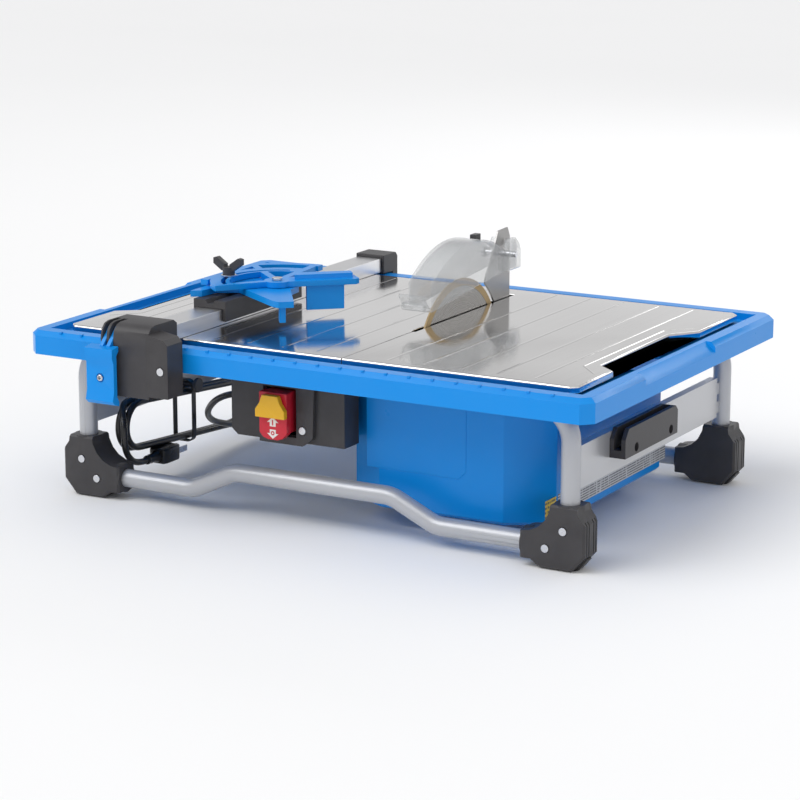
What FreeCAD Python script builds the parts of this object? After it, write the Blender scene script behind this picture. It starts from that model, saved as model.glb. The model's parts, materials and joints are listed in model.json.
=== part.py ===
import FreeCAD
import Part
import Sketcher
import math
import os

# Tabletop wet tile saw, modelled in millimetres as a parametric document.
#
# Row frame: +X to the operator's right, +Y towards the back, +Z up. The origin is on the
# floor under the middle of the overall box. Parts are laid out about the table's own
# middle, which lies table_shift behind the origin.

Vector = FreeCAD.Vector
Rotation = FreeCAD.Rotation
Placement = FreeCAD.Placement

os.makedirs("parts", exist_ok=True)
document = FreeCAD.newDocument("TileSaw")

# ---------------------------------------------------------------------------
# Driving dimensions
# ---------------------------------------------------------------------------

DIMENSIONS = {
    "table_shift": 15.0,
    # plastic tray under the steel top
    "rim_half_length": 320.0,
    "rim_half_width": 228.0,
    "rim_top": 178.4,
    "rim_bottom": 154.0,
    "rim_wall": 3.0,
    "rim_corner": 11.0,
    "rim_bevel": 5.0,
    "rim_land_side": 17.0,
    "rim_land_end": 19.0,
    "deck_top": 171.0,
    "deck_bottom": 168.0,
    "deck_opening_left": 130.0,
    "deck_opening_right": 231.0,
    "deck_opening_half_width": 146.0,
    # steel top
    "top_half_length": 290.0,
    "top_half_width": 196.0,
    "top_height": 181.0,
    "top_hem": 7.0,
    "sheet_gauge": 1.2,
    "top_corner": 12.0,
    "notch_depth": 21.0,
    "notch_front": 98.0,
    "notch_back": 62.0,
    "notch_front_run": 17.0,
    "notch_back_run": 30.0,
    # blade, arbor and motor
    "arbor_side": 36.0,
    "arbor_back": 45.0,
    "arbor_height": 130.0,
    "blade_radius": 89.0,
    "blade_thick": 2.2,
    "blade_core": 1.6,
    "blade_bore": 7.94,
    "slot_half_width": 3.0,
    "slot_front": 53.0,
    "slot_back": 169.0,
    "seam_width": 0.8,
    "motor_radius": 38.0,
    "motor_wall": 2.0,
    "motor_left": -95.0,
    "motor_right": -20.0,
    "shaft_radius": 7.5,
    "running_gap": 0.05,
    "flange_radius": 22.0,
    "knife_thick": 2.0,
    "knife_gap": 5.0,
    "knife_top": 257.0,
    "knife_back": 160.0,
    # clear guard
    "guard_half_width": 14.0,
    "guard_wall": 2.0,
    "guard_radius": 134.0,
    "guard_centre_back": 50.0,
    "guard_centre_height": 125.5,
    "guard_pivot_back": 133.0,
    "guard_pivot_height": 232.5,
    "pin_radius": 3.0,
    # water tub
    "tub_left": 14.0,
    "tub_right": 235.0,
    "tub_half_width": 150.0,
    "tub_bottom": 21.0,
    "tub_wall": 3.0,
    "tub_front_left": 52.0,
    "tub_front_right": 191.0,
    "tub_side_front": 122.0,
    "tub_left_front": 130.0,
    "drain_side": 160.0,
    "drain_height": 36.0,
    "drain_radius": 8.0,
    # tube frame and feet
    "tube_radius": 9.5,
    "leg_side": 278.5,
    "leg_back": 181.0,
    "leg_bottom": 34.0,
    "upper_tube_height": 157.0,
    "upper_bend": 34.0,
    "lower_tube_height": 21.5,
    "lower_tube_raised": 45.0,
    "lower_bend": 38.0,
    "lower_tube_end": 264.0,
    "rise_outer_left": 148.0,
    "rise_inner_left": 98.0,
    "rise_inner_right": 84.0,
    "rise_outer_right": 134.0,
    "foot_half_thick": 15.0,
    "foot_outer": 301.0,
    "foot_top": 64.0,
    "tube_gap": 0.1,
    "plate_bottom": 73.5,
    "plate_top": 116.0,
    "plate_half_width": 166.0,
    "plate_gauge": 2.0,
    # storage holder on the right plate
    "holder_front": 98.0,
    "holder_back": 26.0,
    "holder_bottom": 90.0,
    "holder_top": 119.0,
    "holder_depth": 17.0,
    # switch box
    "switch_left": 102.0,
    "switch_right": 30.0,
    "switch_front": 180.0,
    "switch_back": 152.0,
    "switch_bottom": 85.0,
    "switch_wall": 2.5,
    # fence
    "rail_left": 180.0,
    "rail_right": 150.0,
    "rail_bottom": 181.3,
    "rail_top": 197.0,
    "rail_front": 237.0,
    "rail_back": 218.0,
    "rail_wall": 1.8,
    "clamp_front": 257.0,
    "clamp_top": 203.0,
    "clamp_bottom": 130.0,
    "lever_front": 270.0,
    "lever_pin_back": -244.0,
    "lever_pin_height": 190.0,
    "cap_back": 240.0,
    # mitre gauge
    "mitre_pivot_side": -125.0,
    "mitre_pivot_back": -54.0,
    "mitre_base_bottom": 206.0,
    "mitre_base_top": 212.5,
    "mitre_fence_bottom": 213.0,
    "mitre_fence_top": 219.0,
    "mitre_angle": 42.0,
    # cord
    "cord_radius": 3.5,
    "screw_head_radius": 4.0,
    "screw_radius": 2.0,
}

SCREW_HEAD_HEIGHT = 2.4


class Size:
    """A length that carries its value and the sheet expression that it comes from."""

    def __init__(self, value, text=None):
        self.value = float(value)
        self.text = text if text is not None else repr(float(value))

    @staticmethod
    def of(value):
        return value if isinstance(value, Size) else Size(value)

    def _join(self, other, sign, result):
        other = Size.of(other)
        return Size(result(self.value, other.value), f"({self.text} {sign} {other.text})")

    def __add__(self, other):
        return self._join(other, "+", lambda a, b: a + b)

    def __radd__(self, other):
        return Size.of(other) + self

    def __sub__(self, other):
        return self._join(other, "-", lambda a, b: a - b)

    def __rsub__(self, other):
        return Size.of(other) - self

    def __mul__(self, other):
        return self._join(other, "*", lambda a, b: a * b)

    def __rmul__(self, other):
        return Size.of(other) * self

    def __truediv__(self, other):
        return self._join(other, "/", lambda a, b: a / b)

    def __neg__(self):
        return Size(-self.value, f"(0 - {self.text})")


class Sizes:
    """The sheet's aliases as attributes, each one a Size bound to its cell."""

    def __init__(self, sheet, values):
        for row, (alias, value) in enumerate(values.items(), start=1):
            sheet.set(f"A{row}", alias)
            sheet.set(f"B{row}", repr(value))
            sheet.setAlias(f"B{row}", alias)
            setattr(self, alias, Size(value, f"dims.{alias}"))


sheet = document.addObject("Spreadsheet::Sheet", "dims")
d = Sizes(sheet, DIMENSIONS)
document.recompute()


# ---------------------------------------------------------------------------
# Modelling helpers
# ---------------------------------------------------------------------------

PLANE_ROLE = {"XY": "XY_Plane", "XZ": "XZ_Plane", "YZ": "YZ_Plane"}
AXIS_TURN = {
    "X": Rotation(Vector(0, 1, 0), 90),
    "Y": Rotation(Vector(1, 0, 0), -90),
    "Z": Rotation(),
}
nodes = {}
base_of = {}


def bind(item, path, size):
    """Bind one property of an object to a size."""
    size = Size.of(size)
    item.setExpression(path, size.text)


def put(item, at):
    """Bind an object's place to three sizes."""
    base_of[item.Name] = tuple(Size.of(value) for value in at)
    for letter, size in zip("xyz", base_of[item.Name]):
        bind(item, f"Placement.Base.{letter}", size)


def node(label, item):
    """Name an object as one piece and move it with the table's middle."""
    item.Label = label
    across, back, up = base_of.get(item.Name, (Size(0), Size(0), Size(0)))
    put(item, (across, back + d.table_shift, up))
    nodes[label] = item
    return item


def box(name, low, high):
    """A block between two corners."""
    item = document.addObject("Part::Box", name)
    low = [Size.of(value) for value in low]
    high = [Size.of(value) for value in high]
    for path, start, end in zip(("Length", "Width", "Height"), low, high):
        bind(item, path, end - start)
    put(item, low)
    return item


def rod(name, axis, centre, radius, start, end):
    """A cylinder along a row axis; centre is its place on the other two axes."""
    item = document.addObject("Part::Cylinder", name)
    bind(item, "Radius", radius)
    bind(item, "Height", Size.of(end) - start)
    item.Placement = Placement(Vector(), AXIS_TURN[axis])
    at = list(centre)
    at.insert("XYZ".index(axis), start)
    put(item, at)
    return item


def joined(name, *parts):
    """Pieces fused into one solid."""
    item = document.addObject("Part::MultiFuse", name)
    item.Shapes = list(parts)
    return item


def group(name, *parts):
    """Separate identical pieces kept side by side."""
    item = document.addObject("Part::Compound", name)
    item.Links = list(parts)
    return item


def less(name, base, *tools):
    """A base with every tool cut from it."""
    item = document.addObject("Part::Cut", name)
    item.Base = base
    item.Tool = tools[0] if len(tools) == 1 else joined(name + "_tools", *tools)
    return item


def shared(name, first, second):
    """The space that two pieces share."""
    item = document.addObject("Part::Common", name)
    item.Base = first
    item.Tool = second
    return item


def outline_sketch(body, plane, level, outline):
    """A closed polygon on one of the body's own origin planes, every corner bound."""
    sketch = body.newObject("Sketcher::SketchObject", body.Name + "_outline")
    role = PLANE_ROLE[plane]
    support = [f for f in body.Origin.OriginFeatures if f.Role == role][0]
    sketch.AttachmentSupport = [(support, "")]
    sketch.MapMode = "FlatFace"
    bind(sketch, "AttachmentOffset.Base.z", level)
    corners = [(Size.of(x), Size.of(y)) for x, y in outline]
    points = [Vector(x.value, y.value, 0) for x, y in corners]
    count = len(points)
    for index in range(count):
        sketch.addGeometry(Part.LineSegment(points[index], points[(index + 1) % count]), False)
    for index in range(count):
        follower = (index + 1) % count
        sketch.addConstraint(Sketcher.Constraint("Coincident", index, 2, follower, 1))
    for index, (x, y) in enumerate(corners):
        for kind, size in (("DistanceX", x), ("DistanceY", y)):
            number = sketch.addConstraint(Sketcher.Constraint(kind, -1, 1, index, 1, size.value))
            if "dims." in size.text:
                sketch.setExpression(f"Constraints[{number}]", size.text)
    return sketch


def sketch_level(plane, low, high):
    """The offset that makes a pad run from low to high: the XZ plane faces -Y."""
    return -Size.of(high) if plane == "XZ" else Size.of(low)


def prism(name, plane, low, high, outline):
    """A body with one polygon padded from low to high along the plane's normal axis."""
    body = document.addObject("PartDesign::Body", name)
    sketch = outline_sketch(body, plane, sketch_level(plane, low, high), outline)
    pad = body.newObject("PartDesign::Pad", name + "_pad")
    pad.Profile = sketch
    bind(pad, "Length", Size.of(high) - low)
    return body


def pocketed(body, plane, low, high, outline):
    """Cut one polygon from a body between low and high."""
    sketch = outline_sketch(body, plane, sketch_level(plane, low, high), outline)
    pocket = body.newObject("PartDesign::Pocket", body.Name + "_pocket")
    pocket.Profile = sketch
    pocket.Reversed = True
    bind(pocket, "Length", Size.of(high) - low)
    document.recompute()
    return body


def edges_flat(body, axis, value, keep=lambda edge: True):
    """Names of a body's edges that lie in the plane axis = value and pass the test."""
    document.recompute()
    value = Size.of(value).value
    names = []
    for number, edge in enumerate(body.Tip.Shape.Edges, start=1):
        inside = edge.BoundBox
        low = getattr(inside, axis + "Min")
        high = getattr(inside, axis + "Max")
        if abs(low - value) < 1e-4 and abs(high - value) < 1e-4 and keep(edge):
            names.append(f"Edge{number}")
    return names


def softened(body, kind, size, edges):
    """Round or chamfer the named edges of a body's last feature."""
    last = body.Tip
    feature = body.newObject("PartDesign::" + kind, f"{body.Name}_{kind.lower()}")
    feature.Base = (last, edges)
    bind(feature, "Radius" if kind == "Fillet" else "Size", size)
    body.Tip = feature
    document.recompute()
    return body


def turned(name, profile, back, height):
    """A body revolved about the line along X at one place; profile is (x, radius)."""
    body = document.addObject("PartDesign::Body", name)
    sketch = outline_sketch(body, "XY", Size(0), profile)
    turn = body.newObject("PartDesign::Revolution", name + "_turn")
    turn.Profile = sketch
    turn.ReferenceAxis = (sketch, ["H_Axis"])
    turn.Angle = 360.0
    put(body, (Size(0), back, height))
    return body


def ring_profile(left, right, inner, outer):
    """The section of a plain ring between two ends."""
    return [(left, inner), (right, inner), (right, outer), (left, outer)]


def mirrored_x(outline):
    """An outline reflected in the middle plane of X, order kept anticlockwise."""
    return [(-Size.of(x), y) for x, y in reversed(outline)]


def rounded_path(points, radii):
    """Straight runs joined by tangent arcs, as one wire."""
    edges = []
    start = points[0]
    for before, corner, after, radius in zip(points, points[1:], points[2:], radii):
        incoming = corner.sub(before).normalize()
        outgoing = after.sub(corner).normalize()
        half_turn = incoming.getAngle(outgoing) / 2
        setback = radius * math.tan(half_turn)
        enter = corner - incoming * setback
        leave = corner + outgoing * setback
        inward = (outgoing - incoming).normalize()
        middle = corner + inward * (radius / math.cos(half_turn) - radius)
        edges.append(Part.LineSegment(start, enter).toShape())
        edges.append(Part.Arc(enter, middle, leave).toShape())
        start = leave
    edges.append(Part.LineSegment(start, points[-1]).toShape())
    return Part.Wire(edges)


def swept(name, path, outer, inner=None):
    """A round tube or rod along a wire, as a plain feature."""
    first = path.Edges[0]
    tangent = first.tangentAt(first.FirstParameter)
    start = first.valueAt(first.FirstParameter)
    shapes = []
    for radius in (outer, inner):
        if radius is None:
            continue
        ring = Part.Wire(Part.makeCircle(radius, start, tangent))
        shapes.append(path.makePipeShell([ring], True, False))
    shape = shapes[0] if len(shapes) == 1 else shapes[0].cut(shapes[1])
    item = document.addObject("Part::Feature", name)
    item.Shape = shape
    item.Placement = Placement()
    return item


def screw(name, axis, centre, seat, sign, length):
    """A pan-head screw on a seat; sign is the way that its head points along the axis."""
    head_end = Size.of(seat) + sign * SCREW_HEAD_HEIGHT
    tip = Size.of(seat) - sign * length
    ends = sorted((Size.of(seat), head_end), key=lambda size: size.value)
    head = rod(name + "_head", axis, centre, d.screw_head_radius, *ends)
    ends = sorted((tip, Size.of(seat)), key=lambda size: size.value)
    shank = rod(name + "_shank", axis, centre, d.screw_radius, *ends)
    return joined(name, head, shank)


def screw_hole(name, axis, centre, low, high):
    """The hole that a screw's shank passes through, close to its size."""
    return rod(name, axis, centre, d.screw_radius + 0.05, low, high)


# ---------------------------------------------------------------------------
# Plastic tray and steel top
# ---------------------------------------------------------------------------

def rim_outline(inset):
    """The tray's rectangle with its four corners cut, moved in by an inset."""
    half_x = d.rim_half_length - inset
    half_y = d.rim_half_width - inset
    cut = d.rim_corner - 0.586 * Size.of(inset)
    return [
        (-half_x + cut, -half_y), (half_x - cut, -half_y),
        (half_x, -half_y + cut), (half_x, half_y - cut),
        (half_x - cut, half_y), (-half_x + cut, half_y),
        (-half_x, half_y - cut), (-half_x, -half_y + cut),
    ]


def rectangle(left, front, right, back):
    """A rectangle's four corners, anticlockwise."""
    return [(left, front), (right, front), (right, back), (left, back)]


GRIP_FRONT = -105
GRIP_BACK = 62
GRIP_DEPTH = 12
HAND_HOLE = (258, -62, 290, 4)

tray = prism("tray", "XY", d.rim_bottom, d.rim_top, rim_outline(0))
softened(tray, "Chamfer", d.rim_bevel, edges_flat(tray, "Z", d.rim_top))
recess_x = d.rim_half_length - d.rim_land_side
recess_y = d.rim_half_width - d.rim_land_end
pocketed(tray, "XY", d.deck_top, d.rim_top + 1,
         rectangle(-recess_x, -recess_y, recess_x, recess_y))
pocketed(tray, "XY", d.rim_bottom - 1, d.deck_bottom, rim_outline(d.rim_wall))
pocketed(tray, "XY", d.deck_bottom - 1, d.deck_top + 1,
         rectangle(-d.deck_opening_left, -d.deck_opening_half_width,
                   d.deck_opening_right, d.deck_opening_half_width))
pocketed(tray, "XY", d.deck_bottom - 1, d.deck_top + 1, rectangle(*HAND_HOLE))
for side in (1, -1):
    outer = d.rim_half_length * side
    grip = [(outer - GRIP_DEPTH * side, d.rim_top + 1), (outer + side, d.rim_top + 1),
            (outer + side, d.rim_top - GRIP_DEPTH)]
    pocketed(tray, "XZ", GRIP_FRONT, GRIP_BACK, grip if side > 0 else grip[::-1])
TRAY_SCREWS = [(side * 276, back) for side in (1, -1) for back in (-78, 36)]
tray_screw_holes = [screw_hole("tray_screw_hole", "Z", at, d.deck_bottom - 1, d.deck_top + 1)
                    for at in TRAY_SCREWS]
node("table_tray", less("tray_drilled", tray, *tray_screw_holes))


def top_outline(inset):
    """The steel top: cut corners and a shallow notch in the middle of each end."""
    half_x = d.top_half_length - inset
    half_y = d.top_half_width - inset
    cut = d.top_corner * 0.586
    notch_x = half_x - d.notch_depth
    right = [
        (half_x - cut, -half_y), (half_x, -half_y + cut),
        (half_x, -d.notch_front - d.notch_front_run), (notch_x, -d.notch_front),
        (notch_x, d.notch_back), (half_x, d.notch_back + d.notch_back_run),
        (half_x, half_y - cut), (half_x - cut, half_y),
    ]
    return right + [(-x, y) for x, y in reversed(right)]


hem_bottom = d.top_height - d.top_hem
top = prism("top", "XY", hem_bottom, d.top_height, top_outline(0))
softened(top, "Fillet", Size(2.0), edges_flat(top, "Z", d.top_height))
pocketed(top, "XY", hem_bottom - 1, d.top_height - d.sheet_gauge, top_outline(d.sheet_gauge))
pocketed(top, "XY", hem_bottom - 1, d.top_height + 1,
         rectangle(d.arbor_side - d.slot_half_width, -d.slot_front,
                   d.arbor_side + d.slot_half_width, d.slot_back))
pocketed(top, "XY", hem_bottom - 1, d.top_height + 1,
         rectangle(d.arbor_side - d.seam_width / 2, -d.top_half_width - 1,
                   d.arbor_side + d.seam_width / 2, -d.slot_front + 1))
node("table_top", top)

# ---------------------------------------------------------------------------
# Water tub and drain plug
# ---------------------------------------------------------------------------


def tub_outline(inset):
    """The tub in plan: slanted shoulders at every corner but the one behind the blade."""
    half = d.tub_half_width - inset
    shoulder_left = d.tub_left_front - 0.60 * Size.of(inset)
    shoulder_right = d.tub_side_front - 0.55 * Size.of(inset)
    front_left = d.tub_front_left + 0.25 * Size.of(inset)
    front_right = d.tub_front_right - 0.29 * Size.of(inset)
    front = [(d.tub_left + inset, -shoulder_left), (front_left, -half),
             (front_right, -half), (d.tub_right - inset, -shoulder_right)]
    back = [(d.tub_right - inset, shoulder_right), (front_right, half), (d.tub_left + inset, half)]
    return front + back


TUB_CHAMFER = 3.5
TUB_LID_GAP = 0.2
SHAFT_HOLE = 12.0

tub_top = d.deck_bottom - TUB_LID_GAP
tub = prism("tub", "XY", d.tub_bottom, tub_top, tub_outline(0))
softened(tub, "Chamfer", Size(TUB_CHAMFER), edges_flat(tub, "Z", d.tub_bottom))
pocketed(tub, "XY", d.tub_bottom + d.tub_wall, tub_top + 1, tub_outline(d.tub_wall))
drain_at = (d.drain_side, d.drain_height)
arbor_at = (d.arbor_back, d.arbor_height)
node("water_tub", less(
    "tub_drilled", tub,
    rod("tub_shaft_hole", "X", arbor_at, SHAFT_HOLE, d.tub_left - 1, d.tub_left + d.tub_wall + 1),
    rod("tub_drain_hole", "Y", drain_at, d.drain_radius,
        d.tub_half_width - d.tub_wall - 1, d.tub_half_width + 1)))

drain_face = d.tub_half_width + 0.1
node("drain_plug", joined(
    "drain_plug_body",
    rod("drain_stem", "Y", drain_at, d.drain_radius - d.running_gap,
        d.tub_half_width - d.tub_wall, drain_face + 1),
    rod("drain_flange", "Y", drain_at, d.drain_radius + 4, drain_face, drain_face + 3),
    box("drain_grip", (d.drain_side - 9, drain_face + 2, d.drain_height - 1.5),
        (d.drain_side + 9, drain_face + 12, d.drain_height + 1.5))))

# ---------------------------------------------------------------------------
# Tube frame, side plates and feet
# ---------------------------------------------------------------------------

TUBE_WALL = 1.5
FOOT_SCREWS = [(278, 39.5), (259.5, 20.5)]
SCREW_HOLE_REACH = 20


def at(across, back, up):
    """A point from three sizes."""
    return Vector(*(Size.of(value).value for value in (across, back, up)))


for word, side in (("front", -1), ("rear", 1)):
    back = d.leg_back * side
    upper = [at(-d.leg_side, back, d.leg_bottom), at(-d.leg_side, back, d.upper_tube_height),
             at(d.leg_side, back, d.upper_tube_height), at(d.leg_side, back, d.leg_bottom)]
    lower = [at(-d.lower_tube_end, back, d.lower_tube_height),
             at(-d.rise_outer_left, back, d.lower_tube_height),
             at(-d.rise_inner_left, back, d.lower_tube_raised),
             at(d.rise_inner_right, back, d.lower_tube_raised),
             at(d.rise_outer_right, back, d.lower_tube_height),
             at(d.lower_tube_end, back, d.lower_tube_height)]
    for name, points, bend in (("upper", upper, d.upper_bend), ("lower", lower, d.lower_bend)):
        path = rounded_path(points, [bend.value] * (len(points) - 2))
        outer = d.tube_radius.value
        holes = []
        for place in FOOT_SCREWS:
            for end in (-1, 1):
                ends = sorted((back, back + side * SCREW_HOLE_REACH), key=lambda size: size.value)
                holes.append(screw_hole("tube_screw_hole", "Y", (end * place[0], place[1]), *ends))
        node(f"{word}_{name}_tube", less(
            f"{word}_{name}_drilled", swept(f"{word}_{name}", path, outer, outer - TUBE_WALL),
            *holes))

PLATE_FLANGE = 8.0
WELD_TAB = 12.0
WELD_GAP = 0.02
holder_screws_at = [(-72, 97), (10, 97)]
hook_at = (-36, 90)
HOOK_RADIUS = 3.0

for word, side in (("left", -1), ("right", 1)):
    middle = d.leg_side * side
    inner = middle - side * d.plate_gauge / 2
    outer = middle + side * d.plate_gauge / 2
    low, high = (inner, outer) if side > 0 else (outer, inner)
    web = box(f"{word}_web", (low, -d.plate_half_width, d.plate_bottom),
              (high, d.plate_half_width, d.plate_top))
    turn_in = middle - side * PLATE_FLANGE
    flange_low, flange_high = (turn_in, high) if side > 0 else (low, turn_in)
    flange = box(f"{word}_flange",
                 (flange_low, -d.plate_half_width, d.plate_top - d.plate_gauge),
                 (flange_high, d.plate_half_width, d.plate_top))
    reach = d.leg_back - d.tube_radius - WELD_GAP
    tabs = [box(f"{word}_tab", (low, -reach, up), (high, reach, up + WELD_TAB))
            for up in (78, 98)]
    plate = joined(f"{word}_plate", web, flange, *tabs)
    holes = ([screw_hole("holder_hole", "X", place, low - 1, high + 1)
              for place in holder_screws_at]
             if side > 0 else [rod("hook_hole", "X", hook_at, HOOK_RADIUS + 0.05, low - 1, high + 1)])
    node(f"{word}_side_plate", less(f"{word}_plate_drilled", plate, *holes))

GROOVE_DEPTH = 2.5
GROOVE_HALF = 0.8
GROOVE_PLACES = (-10.0, -5.0, 5.0, 10.0)
PAD_SECTION = [(254, 0), (289.5, 0), (299.5, 11.5), (296.7, 13.6), (288, 3.2), (254, 3.2)]
PAD_HALF_WIDTH = 6.0
FOOT_SCREW_RECESS = 1.5


def signed(outline, side):
    """An outline kept, or mirrored in X, with its order kept."""
    return outline if side > 0 else mirrored_x(outline)


def foot_solid(name, side, end):
    """One foot: an octagonal elbow that joins a leg to the lower tube."""
    middle = d.leg_back * end
    outline = [
        (232, 8.2), (242, 8.2), (253, 0.6), (287, 0.6), (d.foot_outer, 16.5),
        (d.foot_outer, 47), (293.5, 57), (292.5, d.foot_top), (264.5, d.foot_top),
        (263.5, 57), (259, 48), (252, 41), (243, 36.5), (232, 35)]
    body = prism(name, "XZ", middle - d.foot_half_thick, middle + d.foot_half_thick,
                 signed(outline, side))
    edge = side * d.foot_outer
    for face in (middle - d.foot_half_thick, middle + d.foot_half_thick):
        softened(body, "Chamfer", Size(2.2),
                 edges_flat(body, "Y", face, lambda edge: edge.Length > 12.5))
    collars = [
        rod(name + "_top_collar", "Z", (side * d.leg_side, middle), d.foot_half_thick,
            58, d.foot_top),
        rod(name + "_side_collar", "X", (middle, d.lower_tube_height), d.foot_half_thick,
            *sorted((side * 232, side * 240)))]
    grooves = []
    for place in GROOVE_PLACES:
        low, high = sorted((edge.value - side * GROOVE_DEPTH, edge.value + side))
        grooves.append(box(name + "_groove", (low, middle + place - GROOVE_HALF, 12),
                           (high, middle + place + GROOVE_HALF, 54)))
    bore = d.tube_radius + d.tube_gap
    leg_bore = rod(name + "_leg_bore", "Z", (side * d.leg_side, middle), bore,
                   d.leg_bottom - 0.5, d.foot_top + 1)
    ends = sorted((side * 231, side * (d.lower_tube_end.value + 0.5)))
    tube_bore = rod(name + "_tube_bore", "X", (middle, d.lower_tube_height), bore, *ends)
    pad_room = prism(name + "_pad_room", "XZ", middle - PAD_HALF_WIDTH - 0.1,
                     middle + PAD_HALF_WIDTH + 0.1,
                     signed([(253.9, -1), (289.7, -1), (300, 11.4), (302, 14), (296.7, 13.7),
                             (287.9, 3.3), (253.9, 3.3)], side))
    tools = grooves + [leg_bore, tube_bore, pad_room]
    for place in FOOT_SCREWS:
        spot = (side * place[0], place[1])
        face = middle + end * d.foot_half_thick
        well = sorted((face - end * FOOT_SCREW_RECESS, face + end), key=lambda s: s.value)
        tools.append(rod(name + "_screw_well", "Y", spot, d.screw_head_radius + 0.6, *well))
        hole = sorted((face + end, face - end * SCREW_HOLE_REACH), key=lambda s: s.value)
        tools.append(screw_hole(name + "_screw_hole", "Y", spot, *hole))
    return less(name + "_elbow", joined(name + "_blank", body, *collars), *tools)


case_screws = []
pads = []
for word, side in (("left", -1), ("right", 1)):
    for row, end in (("front", -1), ("rear", 1)):
        name = f"{row}_{word}_foot"
        middle = d.leg_back * end
        far = middle + end * 20
        for half, reach in (("outer", far), ("inner", middle - end * 20)):
            ends = sorted((middle, reach), key=lambda s: s.value)
            whole = foot_solid(f"{name}_{half}", side, end)
            room = box(f"{name}_{half}_room", (-330, ends[0], -5), (330, ends[1], 90))
            node(f"{name}_{half}", shared(f"{name}_{half}_half", whole, room))
        pads.append(prism(name + "_pad", "XZ", middle - PAD_HALF_WIDTH,
                          middle + PAD_HALF_WIDTH, signed(PAD_SECTION, side)))
        for place in FOOT_SCREWS:
            seat = middle + end * (d.foot_half_thick - FOOT_SCREW_RECESS)
            case_screws.append(screw(name + "_screw", "Y", (side * place[0], place[1]),
                                     seat, end, 18))
node("foot_pads", group("foot_pad_set", *pads))

# ---------------------------------------------------------------------------
# Storage holder and cord hook
# ---------------------------------------------------------------------------

plate_face = d.leg_side + d.plate_gauge / 2
holder_front_face = plate_face + d.holder_depth
holder_body = prism("holder", "YZ", plate_face, holder_front_face, [
    (-d.holder_front, d.holder_bottom), (d.holder_back, d.holder_bottom),
    (d.holder_back, d.holder_top - 5), (d.holder_back - 5, d.holder_top),
    (-d.holder_front + 8, d.holder_top), (-d.holder_front, d.holder_top - 10)])
holder_slot = box("holder_slot", (plate_face + 4.5, -d.holder_front - 1, d.holder_bottom + 8),
                  (holder_front_face - 4.5, d.holder_back - 8, d.holder_top + 1))
holder_tools = [holder_slot]
HOLDER_SEAT = 3.0
for place in holder_screws_at:
    holder_tools.append(rod("holder_well", "X", place, d.screw_head_radius + 0.6,
                            plate_face + HOLDER_SEAT, holder_front_face + 1))
    holder_tools.append(screw_hole("holder_screw_hole", "X", place, plate_face - 1,
                                   holder_front_face + 1))
    case_screws.append(screw("holder_screw", "X", place, plate_face + HOLDER_SEAT, 1, 7))
node("wrench_holder", less("holder_cut", holder_body, *holder_tools))

HOOK_END = -236.5
hook_plate = -d.leg_side + d.plate_gauge / 2
node("cord_hook", joined(
    "hook_parts",
    rod("hook_peg", "X", hook_at, HOOK_RADIUS, hook_plate - d.plate_gauge, HOOK_END),
    rod("hook_washer", "X", hook_at, 9.0, hook_plate + 0.1, hook_plate + 3),
    rod("hook_cap", "X", hook_at, 8.0, HOOK_END - 3.5, HOOK_END)))

# ---------------------------------------------------------------------------
# Switch box
# ---------------------------------------------------------------------------

SWITCH_REAR_RIGHT = 8
SWITCH_REAR_BACK = 60
switch_top = d.deck_bottom - 0.3
under_tube = d.upper_tube_height - d.tube_radius - 0.3
behind_tube = d.leg_back - d.tube_radius - 0.3
front_block = prism("switch_front_block", "XZ", -d.switch_front, -d.switch_back, [
    (-d.switch_left + 7, d.switch_bottom), (d.switch_right, d.switch_bottom),
    (d.switch_right, under_tube), (-d.switch_left, under_tube),
    (-d.switch_left, d.switch_bottom + 6)])
neck_block = box("switch_neck_block", (-d.switch_left, -behind_tube, under_tube - 1),
                 (d.switch_right, -d.switch_back, switch_top))
rear_block = box("switch_rear_block", (-d.switch_left, -d.switch_back - 1, d.switch_bottom),
                 (SWITCH_REAR_RIGHT, -SWITCH_REAR_BACK, switch_top))
front_room = box("switch_front_room",
                 (-d.switch_left + d.switch_wall, -d.switch_front + d.switch_wall,
                  d.switch_bottom + d.switch_wall),
                 (d.switch_right - d.switch_wall, -d.switch_back - d.switch_wall,
                  under_tube - d.switch_wall))
neck_room = box("switch_neck_room",
                (-d.switch_left + d.switch_wall, -behind_tube + d.switch_wall,
                 under_tube - 2 * d.switch_wall),
                (d.switch_right - d.switch_wall, -d.switch_back - d.switch_wall, switch_top + 1))
rear_room = box("switch_rear_room",
                (-d.switch_left + d.switch_wall, -d.switch_back - d.switch_wall - 1,
                 d.switch_bottom + d.switch_wall),
                (SWITCH_REAR_RIGHT - d.switch_wall, -SWITCH_REAR_BACK - d.switch_wall,
                 switch_top + 1))
CORD_EXIT_BACK = -92
CORD_EXIT_HEIGHT = 104
cord_exit = (CORD_EXIT_BACK, CORD_EXIT_HEIGHT)
paddle_window = box("paddle_window", (-60, -d.switch_front - 1, 92),
                    (-24, -d.switch_front + d.switch_wall + 1, 139))
FACE_SCREW = (-16, 99)
node("switch_housing", less(
    "switch_cut", joined("switch_blank", front_block, neck_block, rear_block), front_room,
    neck_room, rear_room, paddle_window,
    screw_hole("face_screw_hole", "Y", FACE_SCREW, -d.switch_front - 1, -d.switch_front + 5),
    rod("cord_hole", "X", cord_exit, 6.0, -d.switch_left - 1, -d.switch_left + d.switch_wall + 1)))

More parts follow.
